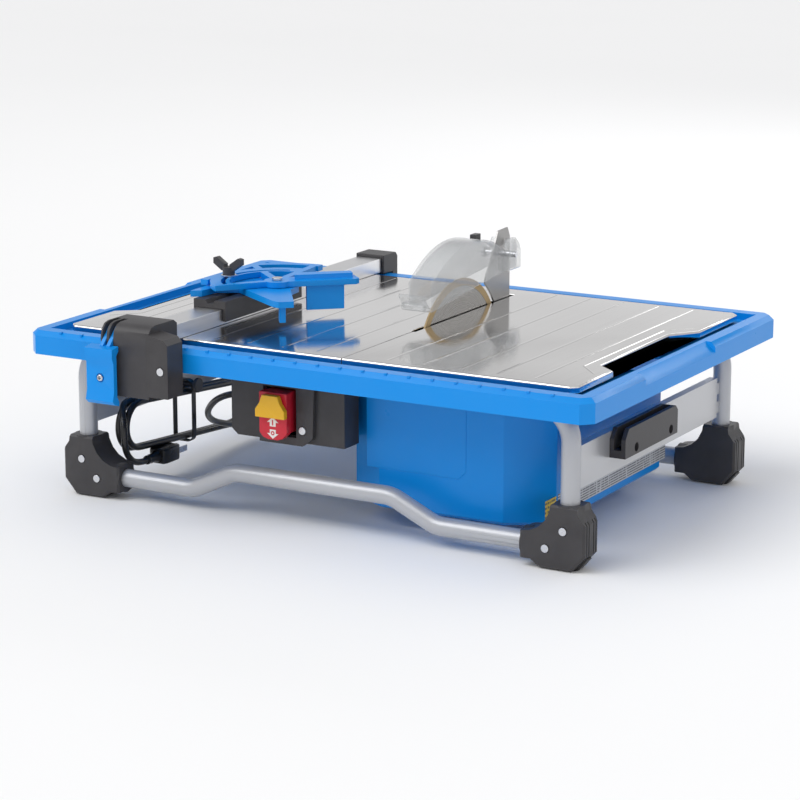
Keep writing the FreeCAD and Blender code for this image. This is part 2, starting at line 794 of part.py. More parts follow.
FACE_THICK = 5.0
face_front = d.switch_front + FACE_THICK
face_body = prism("face", "XZ", -face_front, -d.switch_front - 0.1, [
    (-66, 83), (-16, 83), (-4, 92), (-2, 146), (-66, 146)])
node("switch_faceplate", less(
    "face_cut", face_body,
    box("face_window", (-61, -face_front - 1, 91), (-23, -d.switch_front + 1, 141)),
    rod("face_screw_well", "Y", FACE_SCREW, d.screw_head_radius + 0.6,
        -face_front - 1, -face_front + 2),
    screw_hole("face_screw_shank", "Y", FACE_SCREW, -face_front - 1, -d.switch_front + 1)))
case_screws.append(screw("face_screw", "Y", FACE_SCREW, -face_front + 2, -1, 7))

paddle_plate = prism("paddle_plate", "XZ", -198, -189, [
    (-58, 96), (-54, 91.5), (-48, 89.5), (-37, 89.5), (-31, 91.5), (-26, 97), (-26, 138),
    (-58, 138)])
paddle_neck = box("paddle_neck", (-56, -190, 96), (-28, -176, 138))
key_slot = box("key_slot", (-50, -199, 118), (-34, -180, 126))
node("switch_paddle", less("paddle_cut", joined("paddle_blank", paddle_plate, paddle_neck),
                           key_slot))
key_face = prism("key_face", "XZ", -204.5, -198.3, [
    (-59, 113), (-25, 113), (-25, 121), (-30, 128), (-33, 136), (-51, 136), (-54, 128),
    (-59, 121)])
key_stem = box("key_stem", (-49.7, -199, 118.3), (-34.3, -181, 125.7))
node("switch_key", joined("key_parts", key_face, key_stem))

# ---------------------------------------------------------------------------
# Motor, arbor and blade
# ---------------------------------------------------------------------------

BEARING_RADIUS = 16.0
BEARING_WIDTH = 9.0
REAR_JOURNAL = 5.0
BELL_THICK = 12.0
ROTOR_RADIUS = 30.0


def on_arbor(name, profile):
    """A piece revolved about the arbor line."""
    return turned(name, profile, d.arbor_back, d.arbor_height)


left_end = d.motor_left
right_end = d.motor_right
can_inner = d.motor_radius - d.motor_wall
node("motor_can", on_arbor("can", ring_profile(left_end, right_end, can_inner, d.motor_radius)))

bearing_rear = left_end - BELL_THICK + 2
bearing_drive = right_end + BELL_THICK - 2 - BEARING_WIDTH
node("motor_rear_bell", on_arbor("rear_bell", [
    (left_end - BELL_THICK, 0), (bearing_rear, 0), (bearing_rear, BEARING_RADIUS),
    (left_end, BEARING_RADIUS), (left_end, d.motor_radius), (left_end - 4, d.motor_radius),
    (left_end - BELL_THICK, 26)]))
node("motor_drive_bell", on_arbor("drive_bell", [
    (right_end, BEARING_RADIUS), (bearing_drive + BEARING_WIDTH, BEARING_RADIUS),
    (bearing_drive + BEARING_WIDTH, SHAFT_HOLE - 2), (right_end + BELL_THICK, SHAFT_HOLE - 2),
    (right_end + BELL_THICK, 24), (right_end + 4, d.motor_radius),
    (right_end, d.motor_radius)]))
bearing_outer = Size(BEARING_RADIUS) - 0.02
bearings = [
    on_arbor("rear_bearing", ring_profile(bearing_rear + 0.1, bearing_rear + BEARING_WIDTH,
                                          REAR_JOURNAL + d.running_gap, bearing_outer)),
    on_arbor("drive_bearing", ring_profile(bearing_drive, bearing_drive + BEARING_WIDTH - 0.1,
                                           d.shaft_radius + d.running_gap, bearing_outer))]
node("motor_bearings", group("bearing_pair", *bearings))

FLANGE_THICK = 5.0
NUT_THICK = 8.0
NUT_ACROSS = 19.0
THREAD_RADIUS = 6.0
blade_left = d.arbor_side - d.blade_thick / 2
blade_right = d.arbor_side + d.blade_thick / 2
seat_left = blade_left - 0.05
flange_left = seat_left - FLANGE_THICK
node("motor_armature", on_arbor("armature", [
    (bearing_rear + 1, 0), (blade_right + FLANGE_THICK + NUT_THICK + 3, 0),
    (blade_right + FLANGE_THICK + NUT_THICK + 3, THREAD_RADIUS - 1),
    (blade_right + FLANGE_THICK + NUT_THICK + 2, THREAD_RADIUS),
    (flange_left, THREAD_RADIUS), (flange_left, d.shaft_radius),
    (bearing_drive - 1, d.shaft_radius), (bearing_drive - 1, 9),
    (bearing_drive - 5, 9), (bearing_drive - 5, ROTOR_RADIUS),
    (left_end + 22, ROTOR_RADIUS), (left_end + 22, 12), (left_end + 4, 12),
    (left_end + 4, REAR_JOURNAL), (bearing_rear + 1, REAR_JOURNAL)]))

node("inner_flange", on_arbor("inner_washer", [
    (flange_left + 0.02, THREAD_RADIUS + 0.02), (blade_right - 0.3, THREAD_RADIUS + 0.02),
    (blade_right - 0.3, d.blade_bore - 0.03), (seat_left, d.blade_bore - 0.03),
    (seat_left, d.flange_radius), (seat_left - 2, d.flange_radius),
    (flange_left + 0.02, 14)]))
core_left = d.arbor_side - d.blade_core / 2
core_right = d.arbor_side + d.blade_core / 2
RIM_BAND = 8.0
node("blade", on_arbor("disc", [
    (core_left, d.blade_bore), (core_right, d.blade_bore),
    (core_right, d.blade_radius - RIM_BAND), (blade_right, d.blade_radius - RIM_BAND),
    (blade_right, d.blade_radius), (blade_left, d.blade_radius),
    (blade_left, d.blade_radius - RIM_BAND), (core_left, d.blade_radius - RIM_BAND)]))
outer_left = core_right + 0.05
node("outer_flange", on_arbor("outer_washer", [
    (outer_left, THREAD_RADIUS + 0.02), (outer_left + FLANGE_THICK, THREAD_RADIUS + 0.02),
    (outer_left + FLANGE_THICK, 14), (outer_left + 2.5, d.flange_radius),
    (outer_left, d.flange_radius)]))
nut_left = outer_left + FLANGE_THICK + 0.05
corner = NUT_ACROSS / math.sqrt(3)
nut = prism("nut", "YZ", nut_left, nut_left + NUT_THICK, [
    (corner * math.cos(math.radians(60 * k)), corner * math.sin(math.radians(60 * k)))
    for k in range(6)])
put(nut, (0, d.arbor_back, d.arbor_height))
node("arbor_nut", less("nut_bored", nut, rod("nut_bore", "X", arbor_at, THREAD_RADIUS + 0.02,
                                             nut_left - 1, nut_left + NUT_THICK + 1)))

STRAP_LEFT = -74
STRAP_RIGHT = -46
strap_ring = on_arbor("strap_ring", ring_profile(STRAP_LEFT, STRAP_RIGHT, d.motor_radius + 0.05,
                                                 d.motor_radius + 2.5))
strap_bar = box("strap_bar", (STRAP_LEFT, -158, d.deck_top + 0.1),
                (STRAP_RIGHT, 158, d.deck_top + 2.1))
strap_ears = [box("strap_ear", (STRAP_LEFT, d.arbor_back + offset, 152),
                  (STRAP_RIGHT, d.arbor_back + offset + 2.5, d.deck_top + 1))
              for offset in (-32, 29.5)]
strap_room = rod("strap_room", "X", arbor_at, d.motor_radius + 0.05, STRAP_LEFT - 1,
                 STRAP_RIGHT + 1)
node("motor_mount", less("strap", joined("strap_parts", strap_ring, strap_bar, *strap_ears),
                         strap_room))

# ---------------------------------------------------------------------------
# Riving knife and clear guard
# ---------------------------------------------------------------------------

KNIFE_BOTTOM = 146
KNIFE_TANG_BACK = 145.5
knife_left = d.arbor_side - d.knife_thick / 2
knife_right = d.arbor_side + d.knife_thick / 2
pivot_at = (d.guard_pivot_back, d.guard_pivot_height)
knife_blank = prism("knife_blank", "YZ", knife_left, knife_right, [
    (92, KNIFE_BOTTOM), (KNIFE_TANG_BACK, KNIFE_BOTTOM), (KNIFE_TANG_BACK, d.deck_top + 0.5),
    (d.knife_back, d.deck_top + 2), (d.knife_back, d.knife_top - 10),
    (d.knife_back - 5, d.knife_top), (d.knife_back - 27, d.knife_top - 1),
    (d.knife_back - 36, 240), (d.knife_back - 56, 208)])
node("riving_knife", less(
    "knife_cut", knife_blank,
    rod("blade_room", "X", arbor_at, d.blade_radius + d.knife_gap, knife_left - 1, knife_right + 1),
    rod("knife_pin_hole", "X", pivot_at, d.pin_radius + 0.02, knife_left - 1, knife_right + 1)))
bracket_blank = box("bracket_block", (knife_right + 0.05, 138, KNIFE_BOTTOM + 2),
                    (knife_right + 12, d.tub_half_width - d.tub_wall - 0.1, 165))
node("knife_bracket", joined(
    "bracket_parts", bracket_blank,
    box("bracket_plate", (knife_right + 0.05, d.tub_half_width - d.tub_wall - 3.1, 120),
        (knife_right + 34, d.tub_half_width - d.tub_wall - 0.1, 165))))

guard_left = d.arbor_side - d.guard_half_width
guard_right = d.arbor_side + d.guard_half_width
GUARD_OUTLINE = [
    (-37, 199), (72, 211), (131, 216), (151, 216.5), (152, 238), (146, 247)]
GUARD_FRONT = (-40, 232)
GUARD_LIP_FRONT = -58
ROOF_SLOT_FRONT = 84


def guard_side_outline(inset):
    """The guard's side: a flat lower edge, a raked front and a roof in one arc."""
    radius = d.guard_radius.value - inset
    centre_y = d.guard_centre_back.value
    centre_z = d.guard_centre_height.value
    front_angle = math.atan2(GUARD_FRONT[1] - centre_z, GUARD_FRONT[0] - centre_y)
    rear_angle = math.radians(52)
    steps = 14
    roof = []
    for step in range(steps + 1):
        angle = rear_angle + (front_angle - rear_angle) * step / steps
        roof.append((centre_y + radius * math.cos(angle), centre_z + radius * math.sin(angle)))
    base = [(y + (inset if y < 0 else 0), z) for y, z in GUARD_OUTLINE]
    if inset:
        base = [(y, z - 5) for y, z in base[:4]] + [(160, 240)]
        roof = roof[1:-1] + [(GUARD_FRONT[0] + inset, GUARD_FRONT[1] - inset)]
    return base + roof


guard_block = prism("guard_block", "YZ", guard_left, guard_right, guard_side_outline(0))
guard_hollow = prism("guard_hollow", "YZ", guard_left + d.guard_wall, guard_right - d.guard_wall,
                     guard_side_outline(d.guard_wall.value))
roof_slot = box("roof_slot", (knife_left - 1.5, ROOF_SLOT_FRONT, 205),
                (knife_right + 1.5, 170, 275))
guard_mouth = box("guard_mouth", (guard_left + d.guard_wall, -32, 190),
                  (guard_right - d.guard_wall, 165, 205))
lip = prism("guard_lip", "YZ", guard_left, guard_right, [
    (-38, 199), (-36, 202), (-44, 206), (-54, 218), (-57, 220), (GUARD_LIP_FRONT, 217),
    (-48, 203)])
node("guard_shell", less(
    "guard_cut", joined("guard_parts", less("guard_open", guard_block, guard_hollow), lip),
    roof_slot, guard_mouth,
    rod("guard_pin_hole", "X", pivot_at, d.pin_radius + d.running_gap, guard_left - 1,
        guard_right + 1)))
node("guard_clip", less("clip_fitted", box("clip", (guard_left + 2, 92, 246),
                                           (guard_left + 9, 104, 257.5)), guard_block))

PIN_HEAD = 3.0
node("guard_pin", joined(
    "guard_pin_parts",
    rod("guard_pin_shank", "X", pivot_at, d.pin_radius, guard_left - 0.2, guard_right + 9),
    rod("guard_pin_head", "X", pivot_at, 5.5, guard_left - PIN_HEAD - 0.2, guard_left - 0.2)))
knob_left = guard_right + 0.3
knob_blank = prism("knob_blank", "YZ", knob_left, knob_left + 6, [
    (118, 216), (149, 216), (149, 236), (145, 244), (138, 250), (128, 250), (121, 244),
    (118, 236)])
softened(knob_blank, "Chamfer", Size(1.2), edges_flat(knob_blank, "X", knob_left + 6))
node("guard_knob", less(
    "knob_bored", knob_blank,
    rod("knob_bore", "X", pivot_at, d.pin_radius + d.running_gap, knob_left - 1, knob_left + 7)))

# ---------------------------------------------------------------------------
# Fence rail, front clamp and end cap
# ---------------------------------------------------------------------------

rail_outer = box("rail_outer", (-d.rail_left, -d.rail_front, d.rail_bottom),
                 (-d.rail_right, d.rail_back, d.rail_top))
rail_bore = box("rail_bore", (-d.rail_left + d.rail_wall, -d.rail_front - 1,
                              d.rail_bottom + d.rail_wall),
                (-d.rail_right - d.rail_wall, d.rail_back + 1, d.rail_top - d.rail_wall))
node("fence_rail", less("rail_tube", rail_outer, rail_bore))

CLAMP_LEFT = -206
CLAMP_RIGHT = -149.5
CLAMP_BACK = -205
RIM_GAP = 0.8
SLOT_LEFTS = (-204, -196)
SLOT_WIDTH = 5
clamp_blank = prism("clamp_blank", "YZ", CLAMP_LEFT, CLAMP_RIGHT, [
    (-d.clamp_front, d.clamp_bottom), (-232, d.clamp_bottom),
    (-d.rim_half_width - RIM_GAP, d.clamp_bottom + 4),
    (-d.rim_half_width - RIM_GAP, d.rim_top + RIM_GAP), (CLAMP_BACK, d.rim_top + RIM_GAP + 1.5),
    (CLAMP_BACK, 199), (-211, d.clamp_top), (d.lever_pin_back, d.clamp_top),
    (d.lever_pin_back - 6.5, d.lever_pin_height + 11.26),
    (d.lever_pin_back - 11.26, d.lever_pin_height + 6.5),
    (-d.clamp_front, d.lever_pin_height)])
side_block = prism("clamp_side_block", "XZ", -258, -231, [
    (CLAMP_RIGHT - 2, 133), (-126, 133), (-126, 187), (-131, 192), (CLAMP_RIGHT - 2, 196)])
CLAMP_SCREW = (-135, 160)
rail_room = box("rail_room", (-d.rail_left - 0.1, -d.rail_front - 0.3, d.rail_bottom - 0.1),
                (-d.rail_right + 0.1, CLAMP_BACK + 1, d.rail_top + 0.1))
pin_at = (d.lever_pin_back, d.lever_pin_height)
lever_slots = [box("lever_slot", (left, -262, 176), (left + SLOT_WIDTH, -229.8, 210))
               for left in SLOT_LEFTS]
clamp_tools = [
    rail_room, *lever_slots,
    rod("lever_pin_hole", "X", pin_at, d.pin_radius + 0.02, CLAMP_LEFT - 1, -186),
    rod("clamp_screw_well", "Y", CLAMP_SCREW, d.screw_head_radius + 0.6, -259, -256),
    screw_hole("clamp_screw_hole", "Y", CLAMP_SCREW, -257, -236)]
node("clamp_body", less("clamp_cut", joined("clamp_parts", clamp_blank, side_block),
                        *clamp_tools))
node("clamp_screw", screw("clamp_face_screw", "Y", CLAMP_SCREW, -256, -1, 18))
node("lever_pin", rod("lever_rod", "X", pin_at, d.pin_radius, CLAMP_LEFT + 0.5, -187))

lever_plate = prism("lever_plate", "YZ", -217, -184, [
    (-d.lever_front, 126), (-266, 122), (-259, 120), (-258.5, 124), (-262, 130),
    (-262, 172), (-258.5, 176), (-258.5, 181), (-d.lever_front, 179), (-d.lever_front, 170),
    (-267.5, 164), (-267.5, 136)])
lever_arms = [
    prism("lever_arm", "YZ", left + 0.4, left + SLOT_WIDTH - 0.4, [
        (-263, 172), (-258, 176), (-250, 178.5), (-238, 184), (-238, 196), (-246, 198),
        (-258, 186), (-263, 181)])
    for left in SLOT_LEFTS]
lever_pin_room = rod("lever_pin_room", "X", pin_at, d.pin_radius + d.running_gap,
                     CLAMP_LEFT, -185)
LEVER_SCREW = (-200.5, 149)
node("clamp_lever", less("lever_cut", joined("lever_parts", lever_plate, *lever_arms),
                         lever_pin_room,
                         rod("lever_screw_well", "Y", LEVER_SCREW, d.screw_head_radius + 0.6,
                             -268, -266)))

cap_blank = prism("cap_blank", "YZ", -183, -147, [
    (208, d.rim_top + 1), (d.rim_half_width + RIM_GAP, d.rim_top + 1),
    (d.rim_half_width + RIM_GAP, 164), (d.cap_back - 2, 162), (d.cap_back, 166),
    (d.cap_back, 196), (d.cap_back - 4, 200.5), (208, 200.5)])
cap_room = box("cap_room", (-d.rail_left - 0.1, 200, d.rail_bottom - 0.1),
               (-d.rail_right + 0.1, d.rail_back + 0.2, d.rail_top + 0.1))
node("rear_end_cap", less("cap_cut", cap_blank, cap_room))

# ---------------------------------------------------------------------------
# Mitre gauge
# ---------------------------------------------------------------------------

SLIDER_FRONT = -121
SLIDER_BACK = 29
SLIDER_TOP = 205.5
SLIDER_GAP = 0.4
slider_section = [
    (-d.rail_left - 5, 187), (-d.rail_left - SLIDER_GAP, 187),
    (-d.rail_left - SLIDER_GAP, d.rail_top + SLIDER_GAP),
    (-d.rail_right + SLIDER_GAP, d.rail_top + SLIDER_GAP),
    (-d.rail_right + SLIDER_GAP, 184.5), (-d.rail_right + 4, 184.5),
    (-d.rail_right + 4, SLIDER_TOP), (-159, SLIDER_TOP), (-161.5, 201.5), (-168, 201.5),
    (-170.5, SLIDER_TOP), (-d.rail_left - 5, SLIDER_TOP)]
slider = prism("slider", "XZ", SLIDER_FRONT, SLIDER_BACK, slider_section)
mitre_at = (d.mitre_pivot_side, d.mitre_pivot_back)
KNOB_AT = (-181, -60)
node("mitre_slider", less("slider_drilled", slider, screw_hole(
    "knob_stud_hole", "Z", KNOB_AT, 198.5, SLIDER_TOP + 1)))

BASE_OUTLINE = [
    (-191, -118), (-181, -112), (-178, -88), (-158, -76), (-88, -122), (-80, -124),
    (-68, -114), (-104, -62), (-106, -42), (-128, -32), (-150, -22), (-191, -22)]
base_plate = prism("mitre_plate", "XY", d.mitre_base_bottom, d.mitre_base_top, BASE_OUTLINE)
post = prism("mitre_post", "XY", 189, d.mitre_base_bottom + 1, [
    (-90, -108), (-84, -116), (-79, -112), (-85, -104)])
node("mitre_base", less(
    "mitre_base_cut", joined("mitre_base_parts", base_plate, post),
    screw_hole("base_knob_hole", "Z", KNOB_AT, d.mitre_base_bottom - 1, d.mitre_base_top + 1),
    rod("base_pivot_hole", "Z", mitre_at, d.pin_radius + 0.02, d.mitre_base_bottom - 1,
        d.mitre_base_top + 1)))

INNER_BAND = (50.0, 70.0)
OUTER_BAND = (88.0, 98.0)
SLOT_BAND = (53.8, 58.6)
FENCE_LEFT = -198
tall = d.mitre_fence_bottom
high = d.mitre_fence_top


def band(name, radii, low, top_level):
    """A flat ring about the mitre pivot."""
    return less(name, rod(name + "_outer", "Z", mitre_at, radii[1], low, top_level),
                rod(name + "_inner", "Z", mitre_at, radii[0], low - 1, top_level + 1))


def sector(name, radius, start, end, low, top_level):
    """A wedge about the mitre pivot, from start to end in degrees."""
    steps = 6
    rays = [math.radians(start + (end - start) * k / steps) for k in range(steps + 1)]
    centre = (d.mitre_pivot_side.value, d.mitre_pivot_back.value)
    corners = [centre] + [(centre[0] + radius * math.cos(a), centre[1] + radius * math.sin(a))
                          for a in rays]
    return prism(name, "XY", low, top_level, corners)


def turned_about_pivot(points, angle):
    """Points along and across the mitre fence, turned to its rest angle."""
    cos_a = math.cos(math.radians(angle))
    sin_a = math.sin(math.radians(angle))
    return [(d.mitre_pivot_side + along * cos_a - across * sin_a,
             d.mitre_pivot_back + along * sin_a + across * cos_a) for along, across in points]


rest_angle = d.mitre_angle.value
inner_kept = shared("inner_arc", band("inner_band", INNER_BAND, tall, high),
                    sector("inner_sector", 125, 92, 236, tall - 1, high + 1))
outer_kept = shared("outer_arc", band("outer_band", OUTER_BAND, tall, high),
                    sector("outer_sector", 125, 92, 160, tall - 1, high + 1))
outer_kept = shared("outer_trim", outer_kept, box("band_trim", (FENCE_LEFT, -116, 200), (0, 50, 230)))
side_bar = box("side_bar", (FENCE_LEFT, -88, tall), (FENCE_LEFT + 9, 14, high))
ribs = [prism("fence_rib", "XY", tall, high, turned_about_pivot(
    [(0, -4), (reach, -4), (reach, 4), (0, 4)], angle))
    for angle, reach in ((96, 96), (138, 92), (232, 68))]
wing = prism("fence_wing", "XY", tall, high, turned_about_pivot(
    [(-8, -10), (82, -10), (86, -6), (84, 12), (30, 14), (-2, 12)], rest_angle))
wing_ridge = prism("fence_ridge", "XY", high - 1, high + 5, turned_about_pivot(
    [(18, -2), (80, -2), (80, 10), (24, 12)], rest_angle))
panel = prism("fence_panel", "XY", 187, tall + 1, turned_about_pivot(
    [(30, -6), (70, -6), (70, -1), (30, -1)], rest_angle))
fence_solid = joined("fence_solid", inner_kept, outer_kept, side_bar,
                     rod("pivot_boss", "Z", mitre_at, 14, tall, high), wing, wing_ridge, panel, *ribs)
slot_ring = shared("slot_arc", band("slot_band", SLOT_BAND, tall - 1, high + 1),
                   sector("slot_sector", 80, 108, 232, tall - 2, high + 2))
node("mitre_fence", less(
    "mitre_fence_cut", fence_solid, slot_ring,
    rod("fence_pivot_hole", "Z", mitre_at, d.pin_radius + d.running_gap, tall - 1, high + 8)))
node("mitre_pivot_screw", joined(
    "pivot_screw_parts",
    rod("pivot_shank", "Z", mitre_at, d.pin_radius, d.mitre_base_bottom + 0.5, high + 0.3),
    rod("pivot_head", "Z", mitre_at, 5.5, high + 0.3, high + 2.8)))

KNOB_FOOT = high + 0.3
node("knob_washer", less(
    "washer_cut", rod("washer_disc", "Z", KNOB_AT, 8, KNOB_FOOT, KNOB_FOOT + 1.5),
    rod("washer_hole", "Z", KNOB_AT, 2.6, KNOB_FOOT - 1, KNOB_FOOT + 3)))
knob_low = KNOB_FOOT + 1.7
wing_low = knob_low + 4
knob_wings = [prism("knob_wing", "XZ", KNOB_AT[1] - 3.5, KNOB_AT[1] + 3.5, [
    (KNOB_AT[0] + side * 3, wing_low), (KNOB_AT[0] + side * 7, wing_low),
    (KNOB_AT[0] + side * 17, wing_low + 7), (KNOB_AT[0] + side * 17, wing_low + 13),
    (KNOB_AT[0] + side * 13, wing_low + 14), (KNOB_AT[0] + side * 3, wing_low + 7)])
    for side in (1, -1)]
node("mitre_knob", joined(
    "mitre_knob_parts", *knob_wings,
    rod("knob_hub", "Z", KNOB_AT, 6.5, knob_low, knob_low + 8),
    rod("knob_stud", "Z", KNOB_AT, 1.95, 199, knob_low + 1)))

# ---------------------------------------------------------------------------
# Power cord: strain relief, lead, hank, tail, plug and tie
# ---------------------------------------------------------------------------

RELIEF_TIP = -127
LEAD_ROUTE = [(-127, -92, 104), (-150, -92, 104), (-184, -82, 92), (-215, -56, 68),
              (-236, -14, 46), (-243, 30, 32)]
TAIL_ROUTE = [(-243, -130, 88), (-243, -150, 88), (-243, -168, 70), (-243, -168, 45),
              (-243, -150, 27), (-243, -130, 27)]
HANK_LEFT = -267
HANK_RIGHT = -245
HANK_MIDDLE = (-28, 57)
HANK_HALF_LENGTH = 132
HANK_HALF_HEIGHT = 26
HANK_BAND = 14
HANK_TILT = -5


def cord_radii(route):
    """The largest tangent radius that each corner's two runs allow."""
    points = [Vector(*point) for point in route]
    radii = []
    for before, corner, after in zip(points, points[1:], points[2:]):
        shorter = min(corner.sub(before).Length, after.sub(corner).Length)
        half_turn = corner.sub(before).getAngle(after.sub(corner)) / 2
        radii.append(0.45 * shorter / math.tan(half_turn))
    return radii


def cord_tube(label, route):
    """A stretch of cord along a hand-laid route of straight runs and tangent arcs."""
    radii = cord_radii(route)
    path = rounded_path([Vector(*point) for point in route], radii)
    item = swept(label, path, d.cord_radius.value)
    expected = math.pi * d.cord_radius.value ** 2 * path.Length
    print(f"{label}: length {path.Length:.1f} mm, radii {[round(r, 1) for r in radii]},"
          f" volume ratio {item.Shape.Volume / expected:.4f}")
    return node(label, item)


def stadium(half_length, half_height, low, high):
    """A flat plate with round ends, long along Y, standing in the YZ plane."""
    reach = half_length - half_height
    block = Part.makeBox(high - low, 2 * reach, 2 * half_height,
                         Vector(low, -reach, -half_height))
    ends = [Part.makeCylinder(half_height, high - low, Vector(low, side * reach, 0),
                              Vector(1, 0, 0)) for side in (1, -1)]
    return block.fuse(ends).removeSplitter()


node("cord_strain_relief", turned("relief", [
    (-d.switch_left + d.switch_wall, 0), (-d.switch_left + d.switch_wall, 5.9),
    (-d.switch_left - 0.1, 5.9), (-d.switch_left - 0.1, 7.5), (-d.switch_left - 3, 7.5),
    (-d.switch_left - 4, 6.2), (RELIEF_TIP, 4.5), (RELIEF_TIP, 0)],
    CORD_EXIT_BACK, CORD_EXIT_HEIGHT))
cord_tube("cord_lead", LEAD_ROUTE)
cord_tube("cord_tail", TAIL_ROUTE)

hank_shape = stadium(HANK_HALF_LENGTH, HANK_HALF_HEIGHT, HANK_LEFT, HANK_RIGHT).cut(
    stadium(HANK_HALF_LENGTH - HANK_BAND, HANK_HALF_HEIGHT - HANK_BAND, HANK_LEFT - 1,
            HANK_RIGHT + 1))
hank = document.addObject("Part::Feature", "hank")
hank.Shape = hank_shape
hank.Placement = Placement(Vector(0, *HANK_MIDDLE), Rotation(Vector(1, 0, 0), HANK_TILT))
put(hank, (0, *HANK_MIDDLE))
node("cord_hank", hank)

PLUG_SIDE = -243
PLUG_HEIGHT = 27
PLUG_HALF_HEIGHT = 8
plug_outline = [(PLUG_SIDE + across, back) for across, back in (
    (-9, -110), (9, -110), (11, -104), (11, -84), (8, -78), (-8, -78), (-11, -84), (-11, -104))]
plug_top = Size(PLUG_HEIGHT + PLUG_HALF_HEIGHT)
plug_floor = Size(PLUG_HEIGHT - PLUG_HALF_HEIGHT)
plug_body = prism("plug_block", "XY", plug_floor, plug_top, plug_outline)
for level in (plug_top, plug_floor):
    softened(plug_body, "Chamfer", Size(2.0), edges_flat(plug_body, "Z", level))
plug_neck = rod("plug_neck", "Y", (PLUG_SIDE, PLUG_HEIGHT), 5.0, -130, -109)
plug_blades = [box("plug_blade", (PLUG_SIDE + side * 6.35 - 0.75, -79, PLUG_HEIGHT - 3.2),
                   (PLUG_SIDE + side * 6.35 + 0.75, -62, PLUG_HEIGHT + 3.2))
               for side in (1, -1)]
node("cord_plug", joined("plug_parts", plug_body, plug_neck, *plug_blades))

TIE_FRONT = -42.5
TIE_BACK = -29.5
TIE_WALL = 2.5


def tie_outline(inset):
    """The tie's loop, seen along Y, around the hank; the hook's peg goes through both sides."""
    left, right, low, high_end, cut = -271, -241, 26, 97, 5 - 0.586 * inset
    left, right, low, high_end = left + inset, right - inset, low + inset, high_end - inset
    return [(left + cut, low), (right - cut, low), (right, low + cut), (right, high_end - cut),
            (right - cut, high_end), (left + cut, high_end), (left, high_end - cut),
            (left, low + cut)]


node("cord_tie", less(
    "tie_ring", prism("tie_outer", "XZ", TIE_FRONT, TIE_BACK, tie_outline(0)),
    prism("tie_inner", "XZ", TIE_FRONT - 1, TIE_BACK + 1, tie_outline(TIE_WALL)),
    rod("tie_holes", "X", hook_at, HOOK_RADIUS + 0.2, -275, -237)))

for place in TRAY_SCREWS:
    case_screws.append(screw("tray_screw", "Z", place, d.deck_top, 1, 6))
node("case_screws", group("case_screw_set", *case_screws))

# ---------------------------------------------------------------------------
# Check and write
# ---------------------------------------------------------------------------

document.recompute()
for item in document.Objects:
    if {"Invalid", "Error"} & set(item.State):
        raise RuntimeError(f"{item.Label} did not compute: {item.State}")
for label, item in nodes.items():
    if item.Shape.isNull() or not item.Shape.isValid():
        raise RuntimeError(f"{label} has no valid shape")
    item.Shape.exportStep(f"parts/{label}.step")
    inside = item.Shape.BoundBox
    print(f"{label}: {len(item.Shape.Solids)} solids, {item.Shape.Volume:.0f} mm3,"
          f" x {inside.XMin:.1f} {inside.XMax:.1f}, y {inside.YMin:.1f} {inside.YMax:.1f},"
          f" z {inside.ZMin:.1f} {inside.ZMax:.1f}")
print(len(nodes), "nodes")
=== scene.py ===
"""Looks of a tabletop wet tile saw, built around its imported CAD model.

Sizes inside the classes are in millimetres in the shared frame; the cord's route is in metres.
"""

import json
import logging
import math
from collections.abc import Callable, Sequence
from dataclasses import dataclass, field
from enum import Enum

import bmesh
import bpy
from mathutils import Matrix, Vector


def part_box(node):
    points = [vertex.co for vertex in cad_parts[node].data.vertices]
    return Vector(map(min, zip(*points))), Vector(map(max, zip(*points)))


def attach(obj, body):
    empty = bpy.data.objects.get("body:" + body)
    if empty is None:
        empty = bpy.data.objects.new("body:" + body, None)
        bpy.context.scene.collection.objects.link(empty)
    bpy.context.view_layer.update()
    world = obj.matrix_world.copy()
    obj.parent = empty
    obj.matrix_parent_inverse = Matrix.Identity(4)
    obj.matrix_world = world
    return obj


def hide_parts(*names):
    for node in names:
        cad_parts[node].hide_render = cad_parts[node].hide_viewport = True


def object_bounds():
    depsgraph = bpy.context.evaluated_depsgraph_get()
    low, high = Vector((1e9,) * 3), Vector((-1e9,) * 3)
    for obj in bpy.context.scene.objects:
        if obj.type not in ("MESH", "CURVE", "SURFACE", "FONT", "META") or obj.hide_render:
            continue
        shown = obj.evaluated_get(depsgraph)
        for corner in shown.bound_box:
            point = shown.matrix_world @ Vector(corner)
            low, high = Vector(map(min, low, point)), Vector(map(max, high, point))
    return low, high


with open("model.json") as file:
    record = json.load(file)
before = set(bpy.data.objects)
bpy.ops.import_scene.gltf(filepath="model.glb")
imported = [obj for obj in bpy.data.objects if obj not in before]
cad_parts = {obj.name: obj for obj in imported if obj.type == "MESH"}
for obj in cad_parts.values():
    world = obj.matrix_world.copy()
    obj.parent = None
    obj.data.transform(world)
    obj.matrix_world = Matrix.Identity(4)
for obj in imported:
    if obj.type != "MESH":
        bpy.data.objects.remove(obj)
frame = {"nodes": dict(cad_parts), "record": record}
CAD_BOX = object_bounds()

LOG = logging.getLogger("tile_saw")
MM = 0.001
MERGE_DISTANCE = 0.002
FLAT_ANGLE = math.radians(0.05)
SMOOTH_ANGLE = math.radians(35)
ROUND_ANGLE = math.radians(32)
SOFT_ANGLE = math.radians(30)

Colour = tuple[float, float, float]
Point = tuple[float, float, float]
Flat = tuple[float, float]
Outline = tuple[Flat, ...]
Roundings = tuple[tuple[str, float], ...]
NODE_BODY = {
    node: body
    for body, nodes in frame["record"]["behaviour"]["bodies"].items()
    for node in nodes
}


class Axis(Enum):
    """A direction of the shared frame."""

    X = 0
    Y = 1
    Z = 2

    def unit(self) -> Vector:
        """The axis as a vector of length one."""
        return Vector([1.0 if step == self.value else 0.0 for step in range(3)])


